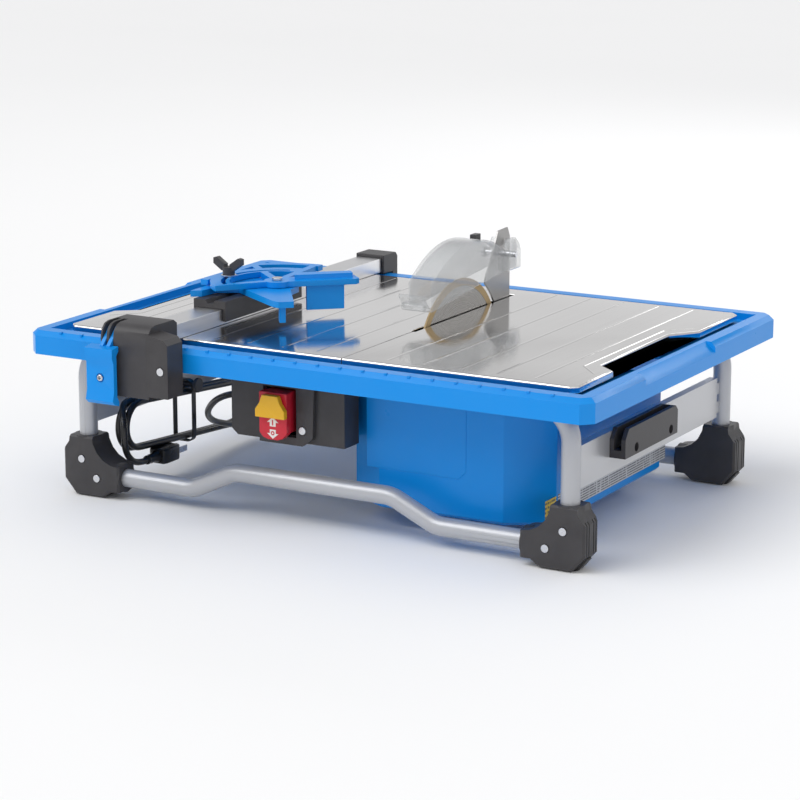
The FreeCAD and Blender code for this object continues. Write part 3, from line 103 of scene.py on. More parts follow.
class Slot(Enum):
    """The record's material slots."""

    BLUE = "blue_plastic"
    BLACK = "black_plastic"
    CLEAR = "clear_plastic"
    RED = "red_plastic"
    YELLOW = "yellow_plastic"
    STAINLESS = "stainless"
    TUBE = "painted_tube"
    PLATE = "painted_plate"
    ALUMINIUM = "aluminium"
    ZINC = "zinc_steel"
    BEARING = "bearing_steel"
    MOTOR_STEEL = "motor_steel"
    MOTOR_ALLOY = "motor_alloy"
    BLADE = "blade_steel"
    RUBBER = "rubber_black"
    CORD = "cord_rubber"


# --- Shader bench ---


def math_node(operation: str, swapped: bool = False) -> Callable[["Signal", object], "Signal"]:
    """Makes an operator of Signal that adds one Math node.

    Args:
        operation: the Math node's operation.
        swapped: whether the other value comes first, as in a reflected form.

    Returns:
        The operator.
    """

    def apply(signal: "Signal", other: object) -> "Signal":
        """Adds the Math node."""
        first, second = (other, signal) if swapped else (signal, other)
        return signal.bench.node("ShaderNodeMath", {"operation": operation},
                                 {0: first, 1: second})

    return apply


@dataclass(frozen=True)
class Signal:
    """A node's output that takes part in arithmetic, and the bench that it is on."""

    bench: "Bench"
    socket: bpy.types.NodeSocket

    __add__ = __radd__ = math_node("ADD")
    __mul__ = __rmul__ = math_node("MULTIPLY")
    __sub__ = math_node("SUBTRACT")
    __rsub__ = math_node("SUBTRACT", swapped=True)
    __truediv__ = math_node("DIVIDE")
    __rtruediv__ = math_node("DIVIDE", swapped=True)
    __gt__ = math_node("GREATER_THAN")

    def fraction(self) -> "Signal":
        """The part after the decimal point."""
        return self.bench.node("ShaderNodeMath", {"operation": "FRACT"}, {0: self})


class Bench:
    """The node tree of a material or the room, with the few ways that finishes add to it."""

    def __init__(self, name: str, library: str = "materials") -> None:
        """Starts an empty tree.

        Args:
            name: the name of the material or the room.
            library: where it is kept, "materials" or "worlds".
        """
        self.owner = getattr(bpy.data, library).new(name)
        self.owner.use_nodes = True
        self.owner.node_tree.nodes.clear()

    def node(
        self,
        kind: str,
        settings: dict[str, object] | None = None,
        inputs: dict[object, object] | None = None,
        output: int = 0,
    ) -> Signal:
        """Adds a node.

        Args:
            kind: the node's type.
            settings: its settings, such as an operation, or "stops" for a ramp.
            inputs: a value or a Signal for each socket, by name or number.
            output: the number of the output that is wanted.

        Returns:
            The chosen output.
        """
        made = self.owner.node_tree.nodes.new(kind)
        for name, value in (settings or {}).items():
            if name == "stops":
                self._ramp(made.color_ramp, value)
            else:
                setattr(made, name, value)
        for name, value in (inputs or {}).items():
            if isinstance(value, Signal):
                self.owner.node_tree.links.new(value.socket, made.inputs[name])
            else:
                made.inputs[name].default_value = value
        socket = made.outputs[output] if made.outputs else None
        return Signal(self, socket)

    @staticmethod
    def _ramp(ramp: bpy.types.ColorRamp, stops: list[tuple[float, Colour]]) -> None:
        """Sets a colour ramp's stops."""
        while len(ramp.elements) < len(stops):
            ramp.elements.new(0.5)
        for element, (place, colour) in zip(ramp.elements, stops):
            element.position = place
            element.color = (*colour, 1.0)

    def place(self) -> Signal:
        """The point on the object, in metres in the shared frame."""
        return self.node("ShaderNodeTexCoord", output=3)

    def stretched(self, scale: Point, centre: Point = (0.0, 0.0, 0.0)) -> Signal:
        """The point, moved so that centre, in metres, is the origin, and then scaled."""
        moved = tuple(-c * s for c, s in zip(centre, scale))
        return self.node("ShaderNodeMapping", None,
                         {"Vector": self.place(), "Location": moved, "Scale": scale})

    def noise(self, scale: float, detail: float = 2.0, at: Signal | None = None) -> Signal:
        """A soft random pattern between 0 and 1, with scale features to a metre."""
        return self.node("ShaderNodeTexNoise", None,
                         {"Vector": at or self.place(), "Scale": scale, "Detail": detail})

    def blend(self, share: object, first: object, second: object) -> Signal:
        """Mixes two colours.

        Args:
            share: how much of the second there is, 0 to 1.
            first: the colour at 0.
            second: the colour at 1.

        Returns:
            The mixed colour.
        """
        ends = {6: first, 7: second}
        for place, end in ends.items():
            if not isinstance(end, Signal):
                ends[place] = (*end, 1.0)
        return self.node("ShaderNodeMix", {"data_type": "RGBA", "clamp_factor": True},
                         {0: share, **ends}, output=2)

    def ramp(self, value: Signal, stops: list[tuple[float, Colour]]) -> Signal:
        """Turns a value into a colour by the ramp's stops."""
        return self.node("ShaderNodeValToRGB", {"stops": stops}, {0: value})

    def bump(self, height: Signal, strength: float, distance: float) -> Signal:
        """A normal that follows a height pattern."""
        return self.node("ShaderNodeBump", None,
                         {"Height": height, "Strength": strength, "Distance": distance})

    def axis(self, which: Axis, at: Signal | None = None) -> Signal:
        """One coordinate of a point, in metres."""
        return self.node("ShaderNodeSeparateXYZ", None, {0: at or self.place()}, which.value)

    def surface(self, inputs: dict[object, object]) -> bpy.types.Material:
        """Closes the material with its main shader.

        Args:
            inputs: the shader's sockets.

        Returns:
            The finished material.
        """
        colour = inputs.get("Base Color")
        if colour is not None and not isinstance(colour, Signal):
            inputs["Base Color"] = (*colour, 1.0)
        shader = self.node("ShaderNodeBsdfPrincipled", None, inputs)
        self.node("ShaderNodeOutputMaterial", None, {"Surface": shader})
        return self.owner


def placed(name: str, data: bpy.types.ID) -> bpy.types.Object:
    """Puts a new object in the scene."""
    made = bpy.data.objects.new(name, data)
    bpy.context.scene.collection.objects.link(made)
    return made


def shade(colour: Colour, factor: float) -> Colour:
    """A lighter or darker copy of a colour."""
    return tuple(min(1.0, part * factor) for part in colour)


@dataclass(frozen=True)
class Finish:
    """The look of one material."""

    name: str

    def sockets(self, bench: Bench) -> dict[object, object]:
        """The main shader's inputs, with the nodes behind them added to the bench."""
        raise NotImplementedError

    def material(self) -> bpy.types.Material:
        """Builds the finish."""
        bench = Bench(self.name)
        return bench.surface(self.sockets(bench))


@dataclass(frozen=True)
class MouldedPlastic(Finish):
    """Injection-moulded plastic: flow marks in its colour, fine grain and a soft gloss."""

    colour: Colour
    roughness: float = 0.3
    grain: float = 0.12
    grain_scale: float = 1400.0
    coat: float = 0.15
    spread: float = 0.04
    dust: float = 0.03
    specular: float = 0.32

    def sockets(self, bench: Bench) -> dict[object, object]:
        """The main shader's inputs."""
        flow = bench.noise(7.0, 3.0)
        handling = bench.noise(38.0, 4.0)
        mottled = bench.blend(flow, shade(self.colour, 1 - self.spread),
                              shade(self.colour, 1 + self.spread))
        dusted = bench.blend(handling * handling * self.dust, mottled, (0.75, 0.75, 0.74))
        grain = bench.noise(self.grain_scale, 2.0)
        return {
            "Base Color": dusted,
            "Roughness": self.roughness - 0.06 + handling * 0.12,
            "Coat Weight": self.coat,
            "Coat Roughness": 0.12,
            "IOR": 1.46,
            "Specular IOR Level": self.specular,
            "Normal": bench.bump(grain, self.grain, 0.0003),
        }


@dataclass(frozen=True)
class PowderPaint(Finish):
    """Powder coat on steel: an orange-peel skin with a slight metallic sheen."""

    colour: Colour
    roughness: float = 0.36
    metallic: float = 0.35

    def sockets(self, bench: Bench) -> dict[object, object]:
        """The main shader's inputs."""
        cloud = bench.noise(12.0, 3.0)
        peel = bench.noise(620.0, 2.0)
        flake = bench.noise(3200.0, 1.0)
        return {
            "Base Color": bench.blend(cloud * 0.6 + flake * 0.4, shade(self.colour, 0.93),
                                      shade(self.colour, 1.06)),
            "Metallic": self.metallic,
            "Roughness": self.roughness - 0.05 + cloud * 0.1,
            "Coat Weight": 0.12,
            "Coat Roughness": 0.25,
            "Normal": bench.bump(peel, 0.16, 0.0008),
        }


@dataclass(frozen=True)
class Metal(Finish):
    """Bare metal with a grain along one axis and light handling marks."""

    colour: Colour
    roughness: float = 0.3
    stretch: Point = (260.0, 6.0, 260.0)
    streak: float = 0.16
    relief: float = 0.05
    smudge: float = 0.08
    wave: float = 0.0

    def sockets(self, bench: Bench) -> dict[object, object]:
        """The main shader's inputs."""
        line = bench.noise(1.0, 4.0, bench.stretched(self.stretch))
        fine = bench.noise(3.0, 2.0, bench.stretched(self.stretch))
        touch = bench.noise(16.0, 5.0)
        swell = bench.noise(9.0, 1.0)
        return {
            "Base Color": bench.blend(line, shade(self.colour, 0.92), shade(self.colour, 1.05)),
            "Metallic": 1.0,
            "Roughness": (self.roughness - self.streak / 2 + line * self.streak
                          + touch * touch * self.smudge),
            "Normal": bench.bump(line * 0.6 + fine * 0.4 + swell * self.wave, self.relief, 0.0004),
        }


@dataclass(frozen=True)
class ClearPlastic(Finish):
    """Clear polycarbonate: seen through face on, bright and solid-looking edge on."""

    colour: Colour = (0.78, 0.81, 0.82)
    rim: Colour = (0.2, 0.21, 0.22)
    face_on: float = 0.07
    edge_on: float = 0.62

    def sockets(self, bench: Bench) -> dict[object, object]:
        """The main shader's inputs."""
        edge = bench.node("ShaderNodeLayerWeight", None, {"Blend": 0.42}, output=1)
        haze = bench.noise(30.0, 4.0)
        return {
            "Base Color": bench.blend(edge, bench.blend(haze, self.colour,
                                                        shade(self.colour, 0.93)), self.rim),
            "Roughness": 0.03 + haze * 0.05,
            "IOR": 1.58,
            "Coat Weight": 1.0,
            "Coat Roughness": 0.03,
            "Alpha": self.face_on + haze * 0.05 + edge * (self.edge_on - self.face_on),
            "Normal": bench.bump(bench.noise(45.0, 1.0), 0.06, 0.001),
        }


@dataclass(frozen=True)
class Rubber(Finish):
    """Soft black rubber or PVC with a faint bloom."""

    colour: Colour = (0.022, 0.021, 0.022)
    roughness: float = 0.42

    def sockets(self, bench: Bench) -> dict[object, object]:
        """The main shader's inputs."""
        bloom = bench.noise(55.0, 4.0)
        skin = bench.noise(900.0, 2.0)
        return {
            "Base Color": bench.blend(bloom * bloom * 0.25, self.colour, (0.12, 0.12, 0.125)),
            "Roughness": self.roughness - 0.08 + bloom * 0.16,
            "IOR": 1.5,
            "Normal": bench.bump(skin, 0.12, 0.0005),
        }


@dataclass(frozen=True)
class DiamondBlade(Finish):
    """A ground steel core with ring-shaped grain and a gritty sintered rim."""

    centre: Point
    rim_radius: float
    core: Colour = (0.4, 0.39, 0.375)
    bond: Colour = (0.5, 0.37, 0.2)

    def sockets(self, bench: Bench) -> dict[object, object]:
        """The main shader's inputs."""
        local = bench.stretched((0.0, 1.0, 1.0), (0.0, self.centre[1], self.centre[2]))
        radius = bench.node("ShaderNodeVectorMath", {"operation": "LENGTH"}, {0: local}, output=1)
        ring = bench.node("ShaderNodeCombineXYZ", None, {0: radius * 900.0})
        grain = bench.noise(1.0, 3.0, ring)
        grit = bench.noise(1900.0, 2.0)
        on_rim = radius > self.rim_radius
        speckled = bench.blend(grit, shade(self.bond, 0.55), shade(self.bond, 1.5))
        return {
            "Base Color": bench.blend(on_rim, bench.blend(grain, shade(self.core, 0.85),
                                                          self.core), speckled),
            "Metallic": 1.0 - on_rim * 0.6,
            "Roughness": 0.2 + grain * 0.15 + on_rim * 0.35,
            "Normal": bench.bump(grain * 0.2 + grit * on_rim, 0.35, 0.0005),
        }


@dataclass(frozen=True)
class PrintedLabel(Finish):
    """Pale label stock with evenly ruled grey lines."""

    paper: Colour
    ink: Colour
    pitch: float = 0.0026

    def sockets(self, bench: Bench) -> dict[object, object]:
        """The main shader's inputs."""
        row = (bench.axis(Axis.Z) / self.pitch).fraction()
        gaps = bench.noise(1.0, 2.0, bench.stretched((120.0, 420.0, 40.0)))
        ruled = (row > 0.5) * (gaps > 0.42)
        fibre = bench.noise(700.0, 3.0)
        return {
            "Base Color": bench.blend(ruled * 0.85, bench.blend(fibre, self.paper,
                                                                shade(self.paper, 0.94)),
                                      self.ink),
            "Roughness": 0.4 + fibre * 0.1,
            "Normal": bench.bump(fibre, 0.05, 0.0002),
        }


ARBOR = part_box("blade")
ARBOR_CENTRE = tuple((ARBOR[0] + ARBOR[1]) / 2)
BLADE_RADIUS = (ARBOR[1].z - ARBOR[0].z) / 2
RIM_DEPTH = 0.008

FINISHES = {
    Slot.BLUE: MouldedPlastic("blue_moulding", (0.0, 0.262, 0.76), grain=0.08, grain_scale=1100.0,
                              coat=0.06, spread=0.03, dust=0.012, specular=0.3),
    Slot.BLACK: MouldedPlastic("charcoal_moulding", (0.042, 0.04, 0.043), roughness=0.4, grain=0.3,
                               grain_scale=900.0, coat=0.05, spread=0.12, dust=0.05),
    Slot.CLEAR: ClearPlastic("clear_guard"),
    Slot.RED: MouldedPlastic("red_paddle", (0.55, 0.008, 0.028), roughness=0.25, grain=0.05,
                             grain_scale=1300.0, coat=0.3),
    Slot.YELLOW: MouldedPlastic("yellow_key", (0.76, 0.42, 0.012), roughness=0.28, grain=0.06,
                                grain_scale=1300.0, coat=0.25),
    Slot.STAINLESS: Metal("polished_stainless", (0.8, 0.79, 0.78), roughness=0.1,
                          stretch=(420.0, 5.0, 420.0), streak=0.06, smudge=0.06, wave=0.8),
    Slot.TUBE: PowderPaint("silver_tube_paint", (0.47, 0.48, 0.505)),
    Slot.PLATE: PowderPaint("silver_plate_paint", (0.55, 0.555, 0.57), roughness=0.32,
                            metallic=0.5),
    Slot.ALUMINIUM: Metal("brushed_rail", (0.8, 0.8, 0.81), stretch=(500.0, 4.0, 500.0),
                          streak=0.14, relief=0.08),
    Slot.ZINC: Metal("zinc_plate", (0.66, 0.67, 0.7), roughness=0.26, stretch=(90.0, 90.0, 90.0),
                     relief=0.06),
    Slot.BEARING: Metal("ground_shaft", (0.6, 0.6, 0.61), roughness=0.2,
                        stretch=(700.0, 60.0, 60.0), streak=0.12),
    Slot.MOTOR_STEEL: PowderPaint("motor_can_paint", (0.035, 0.036, 0.04), roughness=0.42,
                                  metallic=0.1),
    Slot.MOTOR_ALLOY: Metal("cast_alloy", (0.5, 0.5, 0.51), roughness=0.46,
                            stretch=(210.0, 210.0, 210.0), streak=0.2, relief=0.3),
    Slot.BLADE: DiamondBlade("diamond_blade", ARBOR_CENTRE, BLADE_RADIUS - RIM_DEPTH),
    Slot.RUBBER: Rubber("pad_rubber"),
    Slot.CORD: Rubber("cord_jacket", (0.012, 0.012, 0.013), roughness=0.3),
}
EXTRA_FINISHES = {
    "label": PrintedLabel("rating_label", (0.62, 0.63, 0.64), (0.1, 0.1, 0.11)),
    "patch": PrintedLabel("striped_patch", (0.72, 0.5, 0.03), (0.05, 0.05, 0.04), pitch=0.0045),
    "arrow": MouldedPlastic("pale_marking", (0.8, 0.77, 0.75), roughness=0.4, grain=0.04,
                            grain_scale=1500.0, coat=0.1, spread=0.03),
    # Near-black painted shade: the screw heads' cross slots are bare metal, dark only from the
    # shade inside them.
    "painted_recess_shade": MouldedPlastic("shadowed_recess", (0.012, 0.012, 0.013), roughness=0.6, grain=0.2,
                             grain_scale=900.0, coat=0.0),
    # Painted dark reflection: the rolled edge is the top's own stainless, given a darker colour to
    # stand for the dark reflection along it.
    "hem": Metal("hem_steel_painted_dark_reflection", (0.4, 0.4, 0.42), roughness=0.14,
                 stretch=(5.0, 420.0, 420.0), streak=0.08, relief=0.04),
    "knife": Metal("ground_knife", (0.34, 0.335, 0.33), roughness=0.32,
                   stretch=(60.0, 60.0, 420.0), streak=0.14, relief=0.06),
}
_dressed: dict[object, bpy.types.Material] = {}


def paint(piece: bpy.types.Object, slot: Slot, extra: str | None = None) -> None:
    """Gives a piece its finish.

    Args:
        piece: the piece to dress.
        slot: the record's slot that it belongs to.
        extra: the name of a finish that the record has no slot for, such as a label's.
    """
    key = extra or slot
    if key not in _dressed:
        finish = EXTRA_FINISHES[extra] if extra else FINISHES[slot]
        _dressed[key] = finish.material()
    piece.data.materials.clear()
    piece.data.materials.append(_dressed[key])


# --- Mesh forms ---


class Form:
    """A mesh in the making, in millimetres in the shared frame."""

    def __init__(self) -> None:
        """Starts with no mesh."""
        self.mesh = bmesh.new()

    def block(self, low: Point, high: Point) -> "Form":
        """Adds a box between its lowest and highest corners."""
        size = [h - l for l, h in zip(low, high)]
        middle = [(h + l) / 2 for l, h in zip(low, high)]
        bmesh.ops.create_cube(self.mesh, size=1.0,
                              matrix=Matrix.Translation(middle) @ Matrix.Diagonal((*size, 1.0)))
        return self

    def _corners(self, outline: Sequence[Flat], along: Axis,
                 start: float) -> list[bmesh.types.BMVert]:
        """Adds the corners of a flat outline at a place on an axis."""
        corners = []
        for point in outline:
            place = list(point)
            place.insert(along.value, start)
            corners.append(self.mesh.verts.new(place))
        return corners

    def _push(self, extruded: list[object], along: Axis, distance: float) -> None:
        """Moves what an extrusion added along an axis."""
        moved = [item for item in extruded if isinstance(item, bmesh.types.BMVert)]
        bmesh.ops.translate(self.mesh, verts=moved, vec=along.unit() * distance)

    def prism(self, outline: Sequence[Flat], along: Axis, start: float, end: float) -> "Form":
        """Adds a flat outline pushed out along an axis.

        Args:
            outline: its corners in the other two coordinates, in X, Y, Z order.
            along: the axis that it is pushed along.
            start: where it starts on that axis.
            end: where it ends.

        Returns:
            The form.
        """
        face = self.mesh.faces.new(self._corners(outline, along, start))
        pushed = bmesh.ops.extrude_face_region(self.mesh, geom=[face])["geom"]
        self._push(pushed, along, end - start)
        return self

    def rod(self, start: Point, end: Point, radius: float, sides: int = 32) -> "Form":
        """Adds a round bar between two points.

        Args:
            start: the middle of its first end.
            end: the middle of its other end.
            radius: its radius.
            sides: how many sides it has.

        Returns:
            The form.
        """
        run = Vector(end) - Vector(start)
        turn = run.to_track_quat("Z", "Y").to_matrix().to_4x4()
        middle = (Vector(start) + Vector(end)) / 2
        bmesh.ops.create_cone(
            self.mesh, cap_ends=True, segments=sides, radius1=radius, radius2=radius,
            depth=run.length, matrix=Matrix.Translation(middle) @ turn)
        return self

    def turned(self, profile: Sequence[Flat], centre: Point, axis: Axis,
               sides: int = 48, direction: int = 1) -> "Form":
        """Adds a profile spun round an axis.

        Args:
            profile: (place along the axis, radius) pairs from the centre, start to end.
            centre: the point that the profile is measured from.
            axis: the axis that it turns round.
            sides: how many steps a turn has.
            direction: 1 where the profile runs up the axis, -1 where it runs down.

        Returns:
            The form.
        """
        out = Axis((axis.value + 1) % 3).unit()
        along = axis.unit() * direction
        line = [self.mesh.verts.new(Vector(centre) + along * place + out * radius)
                for place, radius in profile]
        edges = [self.mesh.edges.new(pair) for pair in zip(line, line[1:])]
        bmesh.ops.spin(self.mesh, geom=line + edges, cent=centre, axis=axis.unit(),
                       dvec=(0, 0, 0), angle=math.tau, steps=sides, use_merge=True)
        bmesh.ops.remove_doubles(self.mesh, verts=self.mesh.verts, dist=MERGE_DISTANCE)
        return self

    def from_node(self, name: str) -> "Form":
        """Adds a merged copy of a CAD node's mesh, with its flat faces made whole."""
        copied = bmesh.new()
        copied.from_mesh(frame["nodes"][name].data)
        bmesh.ops.scale(copied, verts=copied.verts, vec=(1 / MM,) * 3)
        bmesh.ops.remove_doubles(copied, verts=copied.verts, dist=MERGE_DISTANCE)
        bmesh.ops.dissolve_limit(copied, angle_limit=FLAT_ANGLE, verts=copied.verts,
                                 edges=copied.edges)
        carrier = bpy.data.meshes.new("carrier")
        copied.to_mesh(carrier)
        copied.free()
        self.mesh.from_mesh(carrier)
        bpy.data.meshes.remove(carrier)
        return self

    def band(self, outline: Sequence[Flat], along: Axis, start: float, end: float,
             corner: float, thickness: float) -> "Form":
        """Adds a closed strap that follows an outline with rounded corners.

        Args:
            outline: its corners in the other two coordinates, in X, Y, Z order.
            along: the axis that the strap's width lies on.
            start: where its width starts.
            end: where its width ends.
            corner: the radius of its corners.
            thickness: the strap's thickness, inside the outline.

        Returns:
            The form.
        """
        corners = self._corners(outline, along, start)
        loop = [self.mesh.edges.new(pair) for pair in zip(corners, corners[1:] + corners[:1])]
        self._push(bmesh.ops.extrude_edge_only(self.mesh, edges=loop)["geom"], along, end - start)
        folds = [edge for edge in self.mesh.edges
                 if (edge.verts[0].co - edge.verts[1].co).normalized().cross(
                     along.unit()).length < 0.01]
        bmesh.ops.bevel(self.mesh, geom=folds, offset=corner, offset_type="OFFSET", segments=6,
                        profile=0.5, affect="EDGES", clamp_overlap=True, material=-1)
        bmesh.ops.recalc_face_normals(self.mesh, faces=self.mesh.faces)
        bmesh.ops.solidify(self.mesh, geom=self.mesh.faces[:], thickness=thickness)
        return self

    def soften(self, width: float, steps: int) -> "Form":
        """Rounds every sharp edge.

        Args:
            width: the width of the rounding.
            steps: how many faces it has.

        Returns:
            The form.
        """
        sharp = [edge for edge in self.mesh.edges
                 if len(edge.link_faces) == 2 and edge.calc_face_angle(0.0) > SOFT_ANGLE]
        bmesh.ops.bevel(self.mesh, geom=sharp, offset=width, offset_type="OFFSET",
                        segments=steps, profile=0.5, affect="EDGES", clamp_overlap=True,
                        material=-1)
        return self

    def piece(self, name: str, body: str, slot: Slot, extra: str | None = None,
              replaces: tuple[str, ...] = (), recalculate: bool = True,
              edge: float = 0.0) -> bpy.types.Object:
        """Turns the form into a finished piece.

        Args:
            name: the piece's name.
            body: the CAD body that it moves with.
            slot: the record's slot that its finish comes from.
            extra: a finish outside the record's slots.
            replaces: the CAD nodes that it stands for.
            recalculate: whether the faces are first turned outwards.
            edge: the width of a live rounding on sharp edges, none at 0.

        Returns:
            The piece.
        """
        if recalculate:
            bmesh.ops.recalc_face_normals(self.mesh, faces=self.mesh.faces)
        bmesh.ops.scale(self.mesh, verts=self.mesh.verts, vec=(MM,) * 3)
        data = bpy.data.meshes.new(name)
        self.mesh.to_mesh(data)
        self.mesh.free()
        for face in data.polygons:
            face.use_smooth = True
        data.set_sharp_from_angle(angle=SMOOTH_ANGLE)
        made = placed(name, data)
        if edge:
            rounding = made.modifiers.new("rounding", "BEVEL")
            rounding.width = edge * MM
            rounding.segments = 2
            rounding.limit_method = "ANGLE"
            rounding.angle_limit = ROUND_ANGLE
            rounding.use_clamp_overlap = True
            rounding.harden_normals = True
        paint(made, slot, extra)
        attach(made, body)
        if replaces:
            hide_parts(*replaces)
        LOG.info("%s rides on %s", name, body)
        return made


@dataclass
class SubAssembly:
    """A group of pieces that are built and dressed together.

    Its nodes are the CAD nodes that it rounds, each with the width of the rounding.
    """

    nodes: Roundings = ()
    pieces: list[bpy.types.Object] = field(default_factory=list)

    def eased(self, node: str, edge: float, extra: str | None = None) -> bpy.types.Object:
        """A copy of a CAD node with its edges rounded, which stands for the node.

        Args:
            node: the CAD node.
            edge: the width of the rounding.
            extra: a finish outside the record's slots.

        Returns:
            The piece.
        """
        slot = Slot(SLOT_OF[node])
        made = Form().from_node(node).piece(f"{node}_look", NODE_BODY[node], slot, extra,
                                            replaces=(node,), recalculate=False, edge=edge)
        self.pieces.append(made)
        return made

    def add(self, form: Form, name: str, body: str, slot: Slot, extra: str | None = None,
            replaces: tuple[str, ...] = (), edge: float = 0.0) -> bpy.types.Object:
        """Finishes a new form and keeps it with the sub-assembly's pieces."""
        made = form.piece(name, body, slot, extra, replaces, edge=edge)
        self.pieces.append(made)
        return made

    def build(self) -> None:
        """Rounds the sub-assembly's CAD nodes."""
        for node, edge in self.nodes:
            self.eased(node, edge)


HEAD_HEIGHT = 0.55
DOME_STEPS = 6
CROSS_ARM = 0.58
CROSS_HALF_WIDTH = 0.13
SLOT_OF = {part["node"]: part["material_slot"] for part in frame["record"]["subparts"]}


def cross_screw(head: Form, painted_recess_shade: Form, centre: Point, axis: Axis, direction: int,
                radius: float) -> None:
    """Adds a low domed screw head and, just proud of the dome, a near-black cross of painted shade
    that stands for the shade in the head's cross slot.

    Args:
        head: the form that the head is added to.
        painted_recess_shade: the form that the cross is added to.
        centre: the middle of the head's seat.
        axis: the screw's axis.
        direction: 1 where the head looks up the axis, -1 where it looks down.
        radius: the head's radius.
    """
    height = radius * HEAD_HEIGHT
    dome = [(0.0, radius)]
    for step in range(DOME_STEPS + 1):
        angle = math.radians(90 * step / DOME_STEPS)
        dome.append((height * (0.3 + 0.7 * math.sin(angle)), max(radius * math.cos(angle), 0.0)))
    head.turned([(0.0, 0.0), *dome], centre, axis, 32, direction)
    arm, half = radius * CROSS_ARM, radius * CROSS_HALF_WIDTH
    others = [other for other in Axis if other is not axis]
    for long_way in others:
        low, high = list(centre), list(centre)
        for other in others:
            reach = arm if other is long_way else half
            low[other.value] -= reach
            high[other.value] += reach
        low[axis.value], high[axis.value] = sorted(
            centre[axis.value] + direction * height * share for share in (0.5, 1.02))
        painted_recess_shade.block(tuple(low), tuple(high))


# --- Studio ---


@dataclass
class Studio:
    """The camera, the floor and the soft lights."""

    azimuth: float = 29.41
    elevation: float = 13.47
    distance: float = 2.9237
    lens: float = 125.5
    target: Point = (-0.0087, 0.015, 0.093)
    floor_size: float = 60.0
    sensor: float = 36.0
    sun_place: Point = (-1.6, -2.0, 3.2)
    sun_power: float = 1.25
    sun_spread: float = math.radians(50)
    room_glow: float = 0.8
    room_levels: Outline = (
        (0.0, 1.0), (0.1, 0.98), (0.24, 0.86), (0.36, 0.5), (0.5, 0.7), (1.0, 0.95))
    softboxes: tuple[tuple[str, Point, Flat, float], ...] = (
        ("key", (-1.6, -2.2, 2.4), (1.6, 1.2), 9.0),
        ("fill", (2.4, -1.4, 1.5), (1.6, 1.4), 5.0),
        ("back_strip", (0.3, 2.6, 1.3), (2.2, 0.5), 9.0))

    def camera(self) -> None:
        """Sets the camera at its angle round the saw."""
        a, e = math.radians(self.azimuth), math.radians(self.elevation)
        back = Vector((math.sin(a) * math.cos(e), -math.cos(a) * math.cos(e), math.sin(e)))
        data = bpy.data.cameras.new("studio_camera")
        data.lens = self.lens
        data.sensor_width = self.sensor
        data.clip_end = 200.0
        camera = placed("studio_camera", data)
        camera.location = Vector(self.target) + back * self.distance
        camera.rotation_euler = (-back).to_track_quat("-Z", "Y").to_euler()
        bpy.context.scene.camera = camera

    def floor(self) -> None:
        """Lays the plain pale floor."""
        mesh = bmesh.new()
        bmesh.ops.create_grid(mesh, x_segments=1, y_segments=1, size=self.floor_size)
        bmesh.ops.translate(mesh, verts=mesh.verts, vec=(0, 0, CAD_BOX[0].z - 0.0004))
        data = bpy.data.meshes.new("floor")
        mesh.to_mesh(data)
        mesh.free()
        floor = placed("floor", data)
        bench = Bench("pale_floor")
        cloud = bench.noise(1.5, 2.0)
        data.materials.append(bench.surface({
            "Base Color": bench.blend(cloud, (0.93, 0.93, 0.93), (0.95, 0.95, 0.95)),
            "Roughness": 0.75}))

    def lamp(self, name: str, kind: str, place: Point, power: float) -> bpy.types.Light:
        """Hangs one light aimed at the saw.

        Args:
            name: the light's name.
            kind: "AREA" or "SUN".
            place: where it hangs, in metres.
            power: its power in watts, or a sun's in watts to a square metre.

        Returns:
            The light.
        """
        light = bpy.data.lights.new(name, kind)
        light.energy = power
        lamp = placed(name, light)
        lamp.location = place
        aim = Vector(self.target) - Vector(place)
        lamp.rotation_euler = aim.to_track_quat("-Z", "Y").to_euler()
        return light

    def lights(self) -> None:
        """Hangs the wide soft sun, which lights the floor evenly, and the softboxes."""
        self.lamp("soft_sun", "SUN", self.sun_place, self.sun_power).angle = self.sun_spread
        for name, place, size, power in self.softboxes:
            light = self.lamp(name, "AREA", place, power)
            light.shape = "RECTANGLE"
            light.size, light.size_y = size

    def surroundings(self) -> None:
        """Fills the room with soft light that is a little darker above the horizon."""
        bench = Bench("studio_room", "worlds")
        height = bench.axis(Axis.Z, bench.node("ShaderNodeTexCoord"))
        stops = [(spot, (level, level, level * 1.01)) for spot, level in self.room_levels]
        glow = bench.node("ShaderNodeBackground", None,
                          {"Color": bench.ramp(height, stops), "Strength": self.room_glow})
        bench.node("ShaderNodeOutputWorld", None, {"Surface": glow})
        bpy.context.scene.world = bench.owner

    def build(self) -> None:
        """Sets up the whole studio."""
        self.camera()
        self.floor()
        self.surroundings()
        self.lights()
        scene = bpy.context.scene
        scene.view_settings.view_transform = "Standard"
        scene.view_settings.look = "None"


# --- Power cord ---


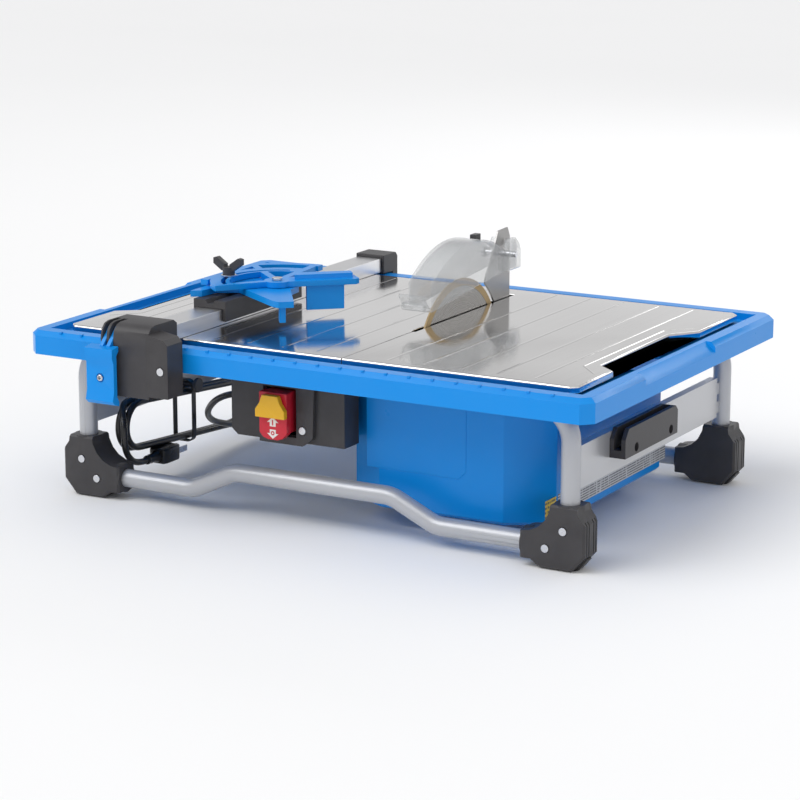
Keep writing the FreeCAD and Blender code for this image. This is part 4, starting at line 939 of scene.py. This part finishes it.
@dataclass
class PowerCord(SubAssembly):
    """The mains cord: strain relief, lead, loose hank hung on its peg, tail and plug."""

    length: float = 1.795
    diameter: float = 0.007
    lead: tuple[Point, ...] = (
        (-0.127, -0.077, 0.104), (-0.150, -0.077, 0.104), (-0.184, -0.067, 0.092),
        (-0.215, -0.041, 0.068), (-0.236, 0.001, 0.046), (-0.243, 0.045, 0.032))
    tail: tuple[Point, ...] = (
        (-0.243, -0.153, 0.070), (-0.243, -0.153, 0.045),
        (-0.243, -0.135, 0.027), (-0.243, -0.115, 0.027))
    hank_middle: Flat = (-0.013, 0.057)
    hank_tilt: float = math.radians(5.0)
    fold: float = 0.0266
    fold_centre: float = 0.1035
    lanes: tuple[float, ...] = (-0.2488, -0.2563, -0.2638)
    slack: tuple[float, ...] = (0.0, 0.0012, -0.0012)
    run_end: float = 0.088
    relief_seat: Point = (-99.6, -77.0, 104.0)
    relief_ribs: int = 5
    plug_at: Flat = (-243.0, 27.0)
    plug_outline: Outline = (
        (-9.0, -95.0), (9.0, -95.0), (11.0, -89.0), (11.0, -69.0),
        (8.0, -63.0), (-8.0, -63.0), (-11.0, -69.0), (-11.0, -89.0))
    grip_ridges: int = 4
    prong_offset: float = 6.35
    strap_outline: Outline = (
        (-269.0, 26.4), (-243.2, 26.4), (-243.2, 95.5), (-269.0, 95.5))

    def hank_point(self, lane: float, along: float, up: float) -> Point:
        """A point of the hank, from its own tilted coordinates."""
        cos, sin = math.cos(self.hank_tilt), math.sin(self.hank_tilt)
        return (lane, self.hank_middle[0] + along * cos + up * sin,
                self.hank_middle[1] + up * cos - along * sin)

    def folded(self, lane: float, end: int, slack: float) -> list[Point]:
        """The control points round one end of the hank.

        Args:
            lane: the turn's place across the hank.
            end: 1 for the rear fold, which goes up, -1 for the front one, which goes down.
            slack: how much larger the turn is than the others.

        Returns:
            Four points round the fold.
        """
        radius = self.fold + slack
        points = []
        for degrees in (-67.5, -22.5, 22.5, 67.5):
            angle = math.radians(degrees)
            points.append(self.hank_point(
                lane, end * (self.fold_centre + slack * 2 + radius * math.cos(angle)),
                end * radius * math.sin(angle)))
        return points

    def turns(self) -> list[Point]:
        """The control points of the hank's turns, a loop for each."""
        run = self.fold * math.cos(math.radians(22.5))
        last = len(self.lanes) - 1
        points = [self.hank_point(self.lanes[0] + 0.001, self.run_end, -run)]
        for number, (lane, slack) in enumerate(zip(self.lanes, self.slack)):
            points += self.folded(lane, 1, slack)
            points += [self.hank_point(lane, along, run + slack)
                       for along in (self.run_end, 0.045, -0.01, -0.06)]
            if number == last:
                break
            points.append(self.hank_point(lane, -self.run_end, run + slack))
            points += self.folded(lane, -1, slack)
            following = self.lanes[number + 1]
            for share, along in ((0.0, -self.run_end), (0.15, -0.055), (0.5, 0.0),
                                 (0.85, 0.055), (1.0, self.run_end)):
                points.append(self.hank_point(lane + (following - lane) * share, along,
                                              -run - slack))
        points += [self.hank_point(self.lanes[last] + 0.001, -0.102, run),
                   self.hank_point(self.lanes[last] + 0.008, -0.128, run - 0.002)]
        return points

    def spline(self, points: list[Point]) -> bpy.types.Object:
        """Makes the cord's one smooth curve.

        Args:
            points: its control points, in metres.

        Returns:
            The curve object.
        """
        data = bpy.data.curves.new("power_cord", "CURVE")
        data.dimensions = "3D"
        data.resolution_u = 10
        data.bevel_depth = self.diameter / 2
        data.bevel_resolution = 4
        data.use_fill_caps = True
        line = data.splines.new("NURBS")
        line.points.add(len(points) - 1)
        for spot, point in zip(line.points, points):
            spot.co = (*point, 1.0)
        line.order_u = 3
        line.use_endpoint_u = True
        return placed("power_cord", data)

    def strain_relief(self) -> None:
        """The tapered, ribbed sleeve where the cord leaves the switch box."""
        profile = [(0.0, 0.0), (0.0, 5.9), (2.6, 5.9), (2.6, 7.5), (5.5, 7.5), (5.5, 6.2)]
        for rib in range(self.relief_ribs):
            start = 7.5 + rib * 3.6
            radius = 6.1 - rib * 0.34
            profile += [(start, radius), (start + 0.4, radius - 0.9),
                        (start + 1.5, radius - 0.9), (start + 1.9, radius - 0.1)]
        profile += [(27.0, 4.5), (27.4, 4.1), (27.4, 0.0)]
        form = Form().turned(profile, self.relief_seat, Axis.X, 40, -1)
        self.add(form, "strain_relief", "stand", Slot.CORD, replaces=("cord_strain_relief",),
                 edge=0.25)

    def plug(self) -> bpy.types.Object:
        """The moulded plug with its grip ridges and prongs."""
        x, z = self.plug_at
        outline = [(x + out, y) for out, y in self.plug_outline]
        body = Form().prism(outline, Axis.Z, z - 8, z + 8).soften(1.6, 3)
        body.turned([(0.0, 0.0), (0.0, 4.2), (2.0, 5.0), (5.0, 4.4), (8.0, 5.2), (11.0, 4.8),
                     (14.0, 5.6), (20.0, 6.6), (21.0, 0.0)], (x, -115.0, z), Axis.Y, 32)
        for ridge in range(self.grip_ridges):
            y = -88.0 + ridge * 4.2
            for side in (-1, 1):
                middle = z + side * 7.7
                body.block((x - 6.5, y, middle - 0.7), (x + 6.5, y + 1.6, middle + 0.7))
        plug = self.add(body, "plug_body", "stand", Slot.CORD, replaces=("cord_plug",), edge=0.3)
        prongs = Form()
        for middle in (x - self.prong_offset, x + self.prong_offset):
            prongs.block((middle - 0.75, -64.0, z - 3.2), (middle + 0.75, -47.0, z + 3.2))
        self.add(prongs, "plug_prongs", "stand", Slot.ZINC, edge=0.4)
        return plug

    def tie(self) -> None:
        """The slim strap that holds the hank up to its peg."""
        strap = Form().band(self.strap_outline, Axis.Y, -24.5, -17.5, corner=8.0,
                            thickness=1.5)
        self.add(strap, "cord_strap", "stand", Slot.CORD, replaces=("cord_tie",), edge=0.3)

    def build(self) -> None:
        """Builds the cord and what is on it."""
        cord = self.spline([*self.lead, *self.turns(), *self.tail])
        paint(cord, Slot.CORD)
        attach(cord, "stand")
        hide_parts("cord_lead", "cord_hank", "cord_tail")
        self.strain_relief()
        plug = self.plug()
        self.tie()


# --- Tray, top and tub ---


@dataclass
class Table(SubAssembly):
    """The blue tray with its rim, and the pressed steel top that lies in it."""

    nodes: Roundings = (("table_tray", 0.9), ("table_top", 1.1))
    inch: float = 25.4
    rib_pitch: float = 40.0
    rib_count: int = 6
    rib_half_width: float = 1.7
    rib_height: float = 0.2
    rib_front: float = -166.0
    rib_back: float = 202.0
    kerf_step: int = 1
    nub_reach: int = 11
    nub_half_width: float = 1.6
    bead_run: Outline = (
        (280.0, -122.0), (257.0, -96.0), (257.0, 90.0), (280.0, 116.0))
    bead_radius: float = 2.2
    bead_depth: float = 1.9
    hem_end: float = 279.0
    hem_rows: tuple[tuple[float, float, float], ...] = (
        (-178.4, 34.6, 36.8), (208.4, 34.6, 34.6))
    hem_radius: float = 2.6
    hem_depth: float = 2.55

    def nubs(self) -> None:
        """The small inch marks that stand on the front rim's sloping edge."""
        low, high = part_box("table_tray")
        front, top = low.y / MM, high.z / MM
        form = Form()
        for step in range(-self.nub_reach, self.nub_reach + 1):
            x = step * self.inch
            form.block((x - self.nub_half_width, front + 2.8, top - 1.8),
                       (x + self.nub_half_width, front + 6.4, top + 0.9))
        self.add(form, "rim_inch_nubs", "stand", Slot.BLUE, edge=0.5)

    def ribs(self) -> None:
        """The long shallow ribs pressed along the steel top."""
        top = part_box("table_top")[1].z / MM
        half, height = self.rib_half_width, self.rib_height
        form = Form()
        for step in range(-self.rib_count, self.rib_count + 1):
            if step == self.kerf_step:
                continue
            x = step * self.rib_pitch
            crown = [(x - half, top - 0.3), (x + half, top - 0.3), (x + half, top),
                     (x + half * 0.5, top + height * 0.7), (x, top + height),
                     (x - half * 0.5, top + height * 0.7), (x - half, top)]
            form.prism(crown, Axis.Y, self.rib_front, self.rib_back)
        self.add(form, "top_ribs", "stand", Slot.STAINLESS)

    def notch_beads(self) -> None:
        """The bead pressed beside each end notch, with its slanted ends."""
        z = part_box("table_top")[1].z / MM - self.bead_depth
        form = Form()
        for side in (-1, 1):
            for (x0, y0), (x1, y1) in zip(self.bead_run, self.bead_run[1:]):
                form.rod((side * x0, y0, z), (side * x1, y1, z), self.bead_radius, 24)
        self.add(form, "top_notch_beads", "stand", Slot.STAINLESS)

    def hem(self) -> None:
        """The rolled edge along the front and back of the steel top, in a darker copy of its steel
        that paints in the edge's dark reflection.
        """
        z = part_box("table_top")[1].z / MM - self.hem_depth
        form = Form()
        for y, left_end, right_start in self.hem_rows:
            form.rod((-self.hem_end, y, z), (left_end, y, z), self.hem_radius)
            form.rod((right_start, y, z), (self.hem_end, y, z), self.hem_radius)
        # The hem finish is a darker copy of the stainless, a painted dark reflection.
        self.add(form, "top_rolled_hem", "stand", Slot.STAINLESS, "hem")

    def build(self) -> None:
        """Builds the tray and the top."""
        super().build()
        self.nubs()
        self.ribs()
        self.notch_beads()
        self.hem()


@dataclass
class WaterTub(SubAssembly):
    """The blue tub under the blade, its drain plug and its labels."""

    nodes: Roundings = (("water_tub", 1.6),)
    label_set_in: float = 0.4
    label_proud: float = 0.25
    label_spans: tuple[tuple[str, str, float, float, float, float], ...] = (
        ("tub_label", "label", -104.0, 150.0, 31.0, 52.0),
        ("tub_patch", "patch", -131.0, -108.0, 33.0, 51.0))
    panel_outline: Outline = (
        (38.0, 62.0), (142.0, 62.0), (150.0, 70.0), (150.0, 148.0), (38.0, 148.0))

    def labels(self) -> None:
        """The ruled rating label and the small bright patch on the right wall."""
        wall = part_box("water_tub")[1].x / MM
        for name, finish, front, back, bottom, top in self.label_spans:
            form = Form().block((wall - self.label_set_in, front, bottom),
                                (wall + self.label_proud, back, top))
            self.add(form, name, "stand", Slot.BLUE, finish)

    def panel(self) -> None:
        """The slightly raised panel on the front wall."""
        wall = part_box("water_tub")[0].y / MM
        form = Form().prism(self.panel_outline, Axis.Y, wall - 0.55, wall + 0.5)
        self.add(form, "tub_front_panel", "stand", Slot.BLUE, edge=0.45)

    def build(self) -> None:
        """Builds the tub."""
        super().build()
        self.labels()
        self.panel()
        self.eased("drain_plug", 0.7)


# --- Stand ---


@dataclass
class Stand(SubAssembly):
    """The bent tubes, side plates, corner feet, holder, cord peg and screws."""

    nodes: Roundings = (
        ("front_upper_tube", 0.3), ("rear_upper_tube", 0.3), ("front_lower_tube", 0.3),
        ("rear_lower_tube", 0.3), ("left_side_plate", 0.5), ("right_side_plate", 0.5),
        *((f"{row}_{side}_foot_{half}", 1.3) for row in ("front", "rear")
          for side in ("left", "right") for half in ("outer", "inner")),
        ("foot_pads", 0.8), ("wrench_holder", 1.0), ("cord_hook", 0.6), ("case_screws", 0.3))
    foot_middles: tuple[tuple[int, float], ...] = ((-1, -166.0), (1, 196.0))
    foot_half: float = 12.4
    screw_places: Outline = ((278.0, 39.5), (259.5, 20.5))
    screw_radius: float = 4.0

    def screws(self) -> None:
        """The domed cross heads on the feet, over the CAD screws' shanks, each with a near-black
        cross of painted shade in its slot.
        """
        heads, shade_crosses = Form(), Form()
        for side in (-1, 1):
            for end, middle in self.foot_middles:
                for x, z in self.screw_places:
                    at = (side * x, middle + end * self.foot_half, z)
                    cross_screw(heads, shade_crosses, at, Axis.Y, end, self.screw_radius)
        self.add(heads, "foot_screw_heads", "stand", Slot.ZINC)
        self.add(shade_crosses, "foot_screw_shade_crosses", "stand", Slot.ZINC, "painted_recess_shade")

    def build(self) -> None:
        """Builds the stand."""
        super().build()
        self.screws()


# --- Switch, motor and blade ---


@dataclass
class Switch(SubAssembly):
    """The switch box, its faceplate, the red paddle and the yellow key."""

    nodes: Roundings = (
        ("switch_housing", 0.9), ("switch_faceplate", 0.7), ("switch_paddle", 0.8),
        ("switch_key", 0.8))
    arrow_up: Outline = (
        (-6.5, 107.6), (0.0, 112.9), (6.5, 107.6), (3.4, 107.6), (3.4, 103.4), (-3.4, 103.4),
        (-3.4, 107.6))
    arrow_down: Outline = (
        (-6.5, 96.2), (-3.4, 96.2), (-3.4, 100.2), (3.4, 100.2), (3.4, 96.2), (6.5, 96.2),
        (0.0, 90.8))

    def arrows(self) -> None:
        """The raised pale on and off arrows on the paddle."""
        low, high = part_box("switch_paddle")
        front = low.y / MM
        x = (low.x + high.x) / 2 / MM
        form = Form()
        for outline in (self.arrow_up, self.arrow_down):
            form.prism([(x + out, z) for out, z in outline], Axis.Y, front - 0.45, front + 0.4)
        marks = Form().block((x - 0.6, front - 0.7, 104.6), (x + 0.6, front, 110.0))
        marks.turned([(-0.7, 1.1), (-0.7, 2.1), (0.0, 2.1), (0.0, 1.1), (-0.7, 1.1)],
                     (x, front, 96.6), Axis.Y, 28)
        self.add(marks, "paddle_marks", "paddle", Slot.RED)
        self.add(form, "paddle_arrows", "paddle", Slot.RED, "arrow")

    def build(self) -> None:
        """Builds the switch."""
        super().build()
        self.arrows()


@dataclass
class Drive(SubAssembly):
    """The motor, its mount, the arbor with the blade, and the riving knife."""

    edge: float = 0.25
    nodes: Roundings = tuple((node, 0.25) for node in (
        "motor_can", "motor_rear_bell", "motor_drive_bell", "motor_bearings", "motor_mount",
        "motor_armature", "inner_flange", "outer_flange", "arbor_nut"))
    bore: float = 7.95
    core_half: float = 0.8
    rim_half: float = 1.1

    def blade(self) -> None:
        """The round blade: a thin core with a slightly thicker continuous rim."""
        low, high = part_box("blade")
        centre = tuple((low + high) / 2 / MM)
        outer = BLADE_RADIUS / MM
        step = outer - RIM_DEPTH / MM
        half = [(self.core_half, self.bore), (self.core_half, step - 0.4),
                (self.rim_half, step), (self.rim_half, outer - 0.4), (self.rim_half - 0.4, outer)]
        profile = [*half, *[(-place, radius) for place, radius in reversed(half)], half[0]]
        form = Form().turned(profile, centre, Axis.X, 180)
        self.add(form, "saw_blade", "arbor", Slot.BLADE, replaces=("blade",))

    def build(self) -> None:
        """Builds the drive."""
        super().build()
        self.eased("riving_knife", self.edge, "knife")
        self.eased("knife_bracket", self.edge)
        self.blade()


@dataclass
class Guard(SubAssembly):
    """The clear blade guard with its clip, hinge pin and locking knob."""

    nodes: Roundings = (
        ("guard_shell", 0.35), ("guard_clip", 0.5), ("guard_pin", 0.4), ("guard_knob", 0.6))
    roller_radius: float = 4.0
    roller_inset: float = 7.0
    wall: float = 1.4

    def roller(self) -> None:
        """The small roller across the guard's front lip."""
        low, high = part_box("guard_shell")
        y, z = low.y / MM + self.roller_inset, low.z / MM + self.roller_inset
        form = Form().rod((low.x / MM + self.wall, y, z), (high.x / MM - self.wall, y, z),
                          self.roller_radius)
        self.add(form, "guard_roller", "guard", Slot.CLEAR, edge=0.5)

    def build(self) -> None:
        """Builds the guard."""
        super().build()
        self.roller()


# --- Fence and mitre gauge ---


@dataclass
class Fence(SubAssembly):
    """The rip fence: rail, front clamp with its lever, and rear cap."""

    nodes: Roundings = (
        ("fence_rail", 0.35), ("clamp_body", 1.2), ("clamp_screw", 0.3), ("lever_pin", 0.3),
        ("rear_end_cap", 1.2), ("clamp_lever", 1.3))
    lever_screw_at: Flat = (-200.5, 149.0)
    lever_well: float = 2.5
    lever_screw_radius: float = 3.4

    def lever_screw(self) -> None:
        """The cross-head screw in the well of the clamp's lever, with a near-black cross of
        painted shade in its slot.
        """
        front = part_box("clamp_lever")[0].y / MM
        x, z = self.lever_screw_at
        seat = (x, front + self.lever_well, z)
        # cross holds the near-black painted shade of the head's cross slot.
        head, cross = Form(), Form()
        cross_screw(head, cross, seat, Axis.Y, -1, self.lever_screw_radius)
        self.add(head, "lever_screw_head", "fence_lever", Slot.ZINC)
        self.add(cross, "lever_screw_shade_cross", "fence_lever", Slot.ZINC, "painted_recess_shade")

    def build(self) -> None:
        """Builds the fence."""
        super().build()
        self.lever_screw()


@dataclass
class MitreGauge(SubAssembly):
    """The mitre gauge that slides on the fence rail, and its locking knob."""

    nodes: Roundings = (
        ("mitre_slider", 0.8), ("mitre_base", 0.9), ("mitre_pivot_screw", 0.3),
        ("mitre_fence", 1.0), ("mitre_knob", 1.0), ("knob_washer", 0.2))


def main() -> None:
    """Builds the studio and every sub-assembly in order."""
    logging.basicConfig(level=logging.INFO, format="%(message)s")
    Studio().build()
    for group in (PowerCord(), Table(), WaterTub(), Stand(), Switch(), Drive(), Guard(),
                  Fence(), MitreGauge()):
        group.build()
        LOG.info("%s: %d pieces", type(group).__name__, len(group.pieces))


if __name__ == "__main__":
    main()
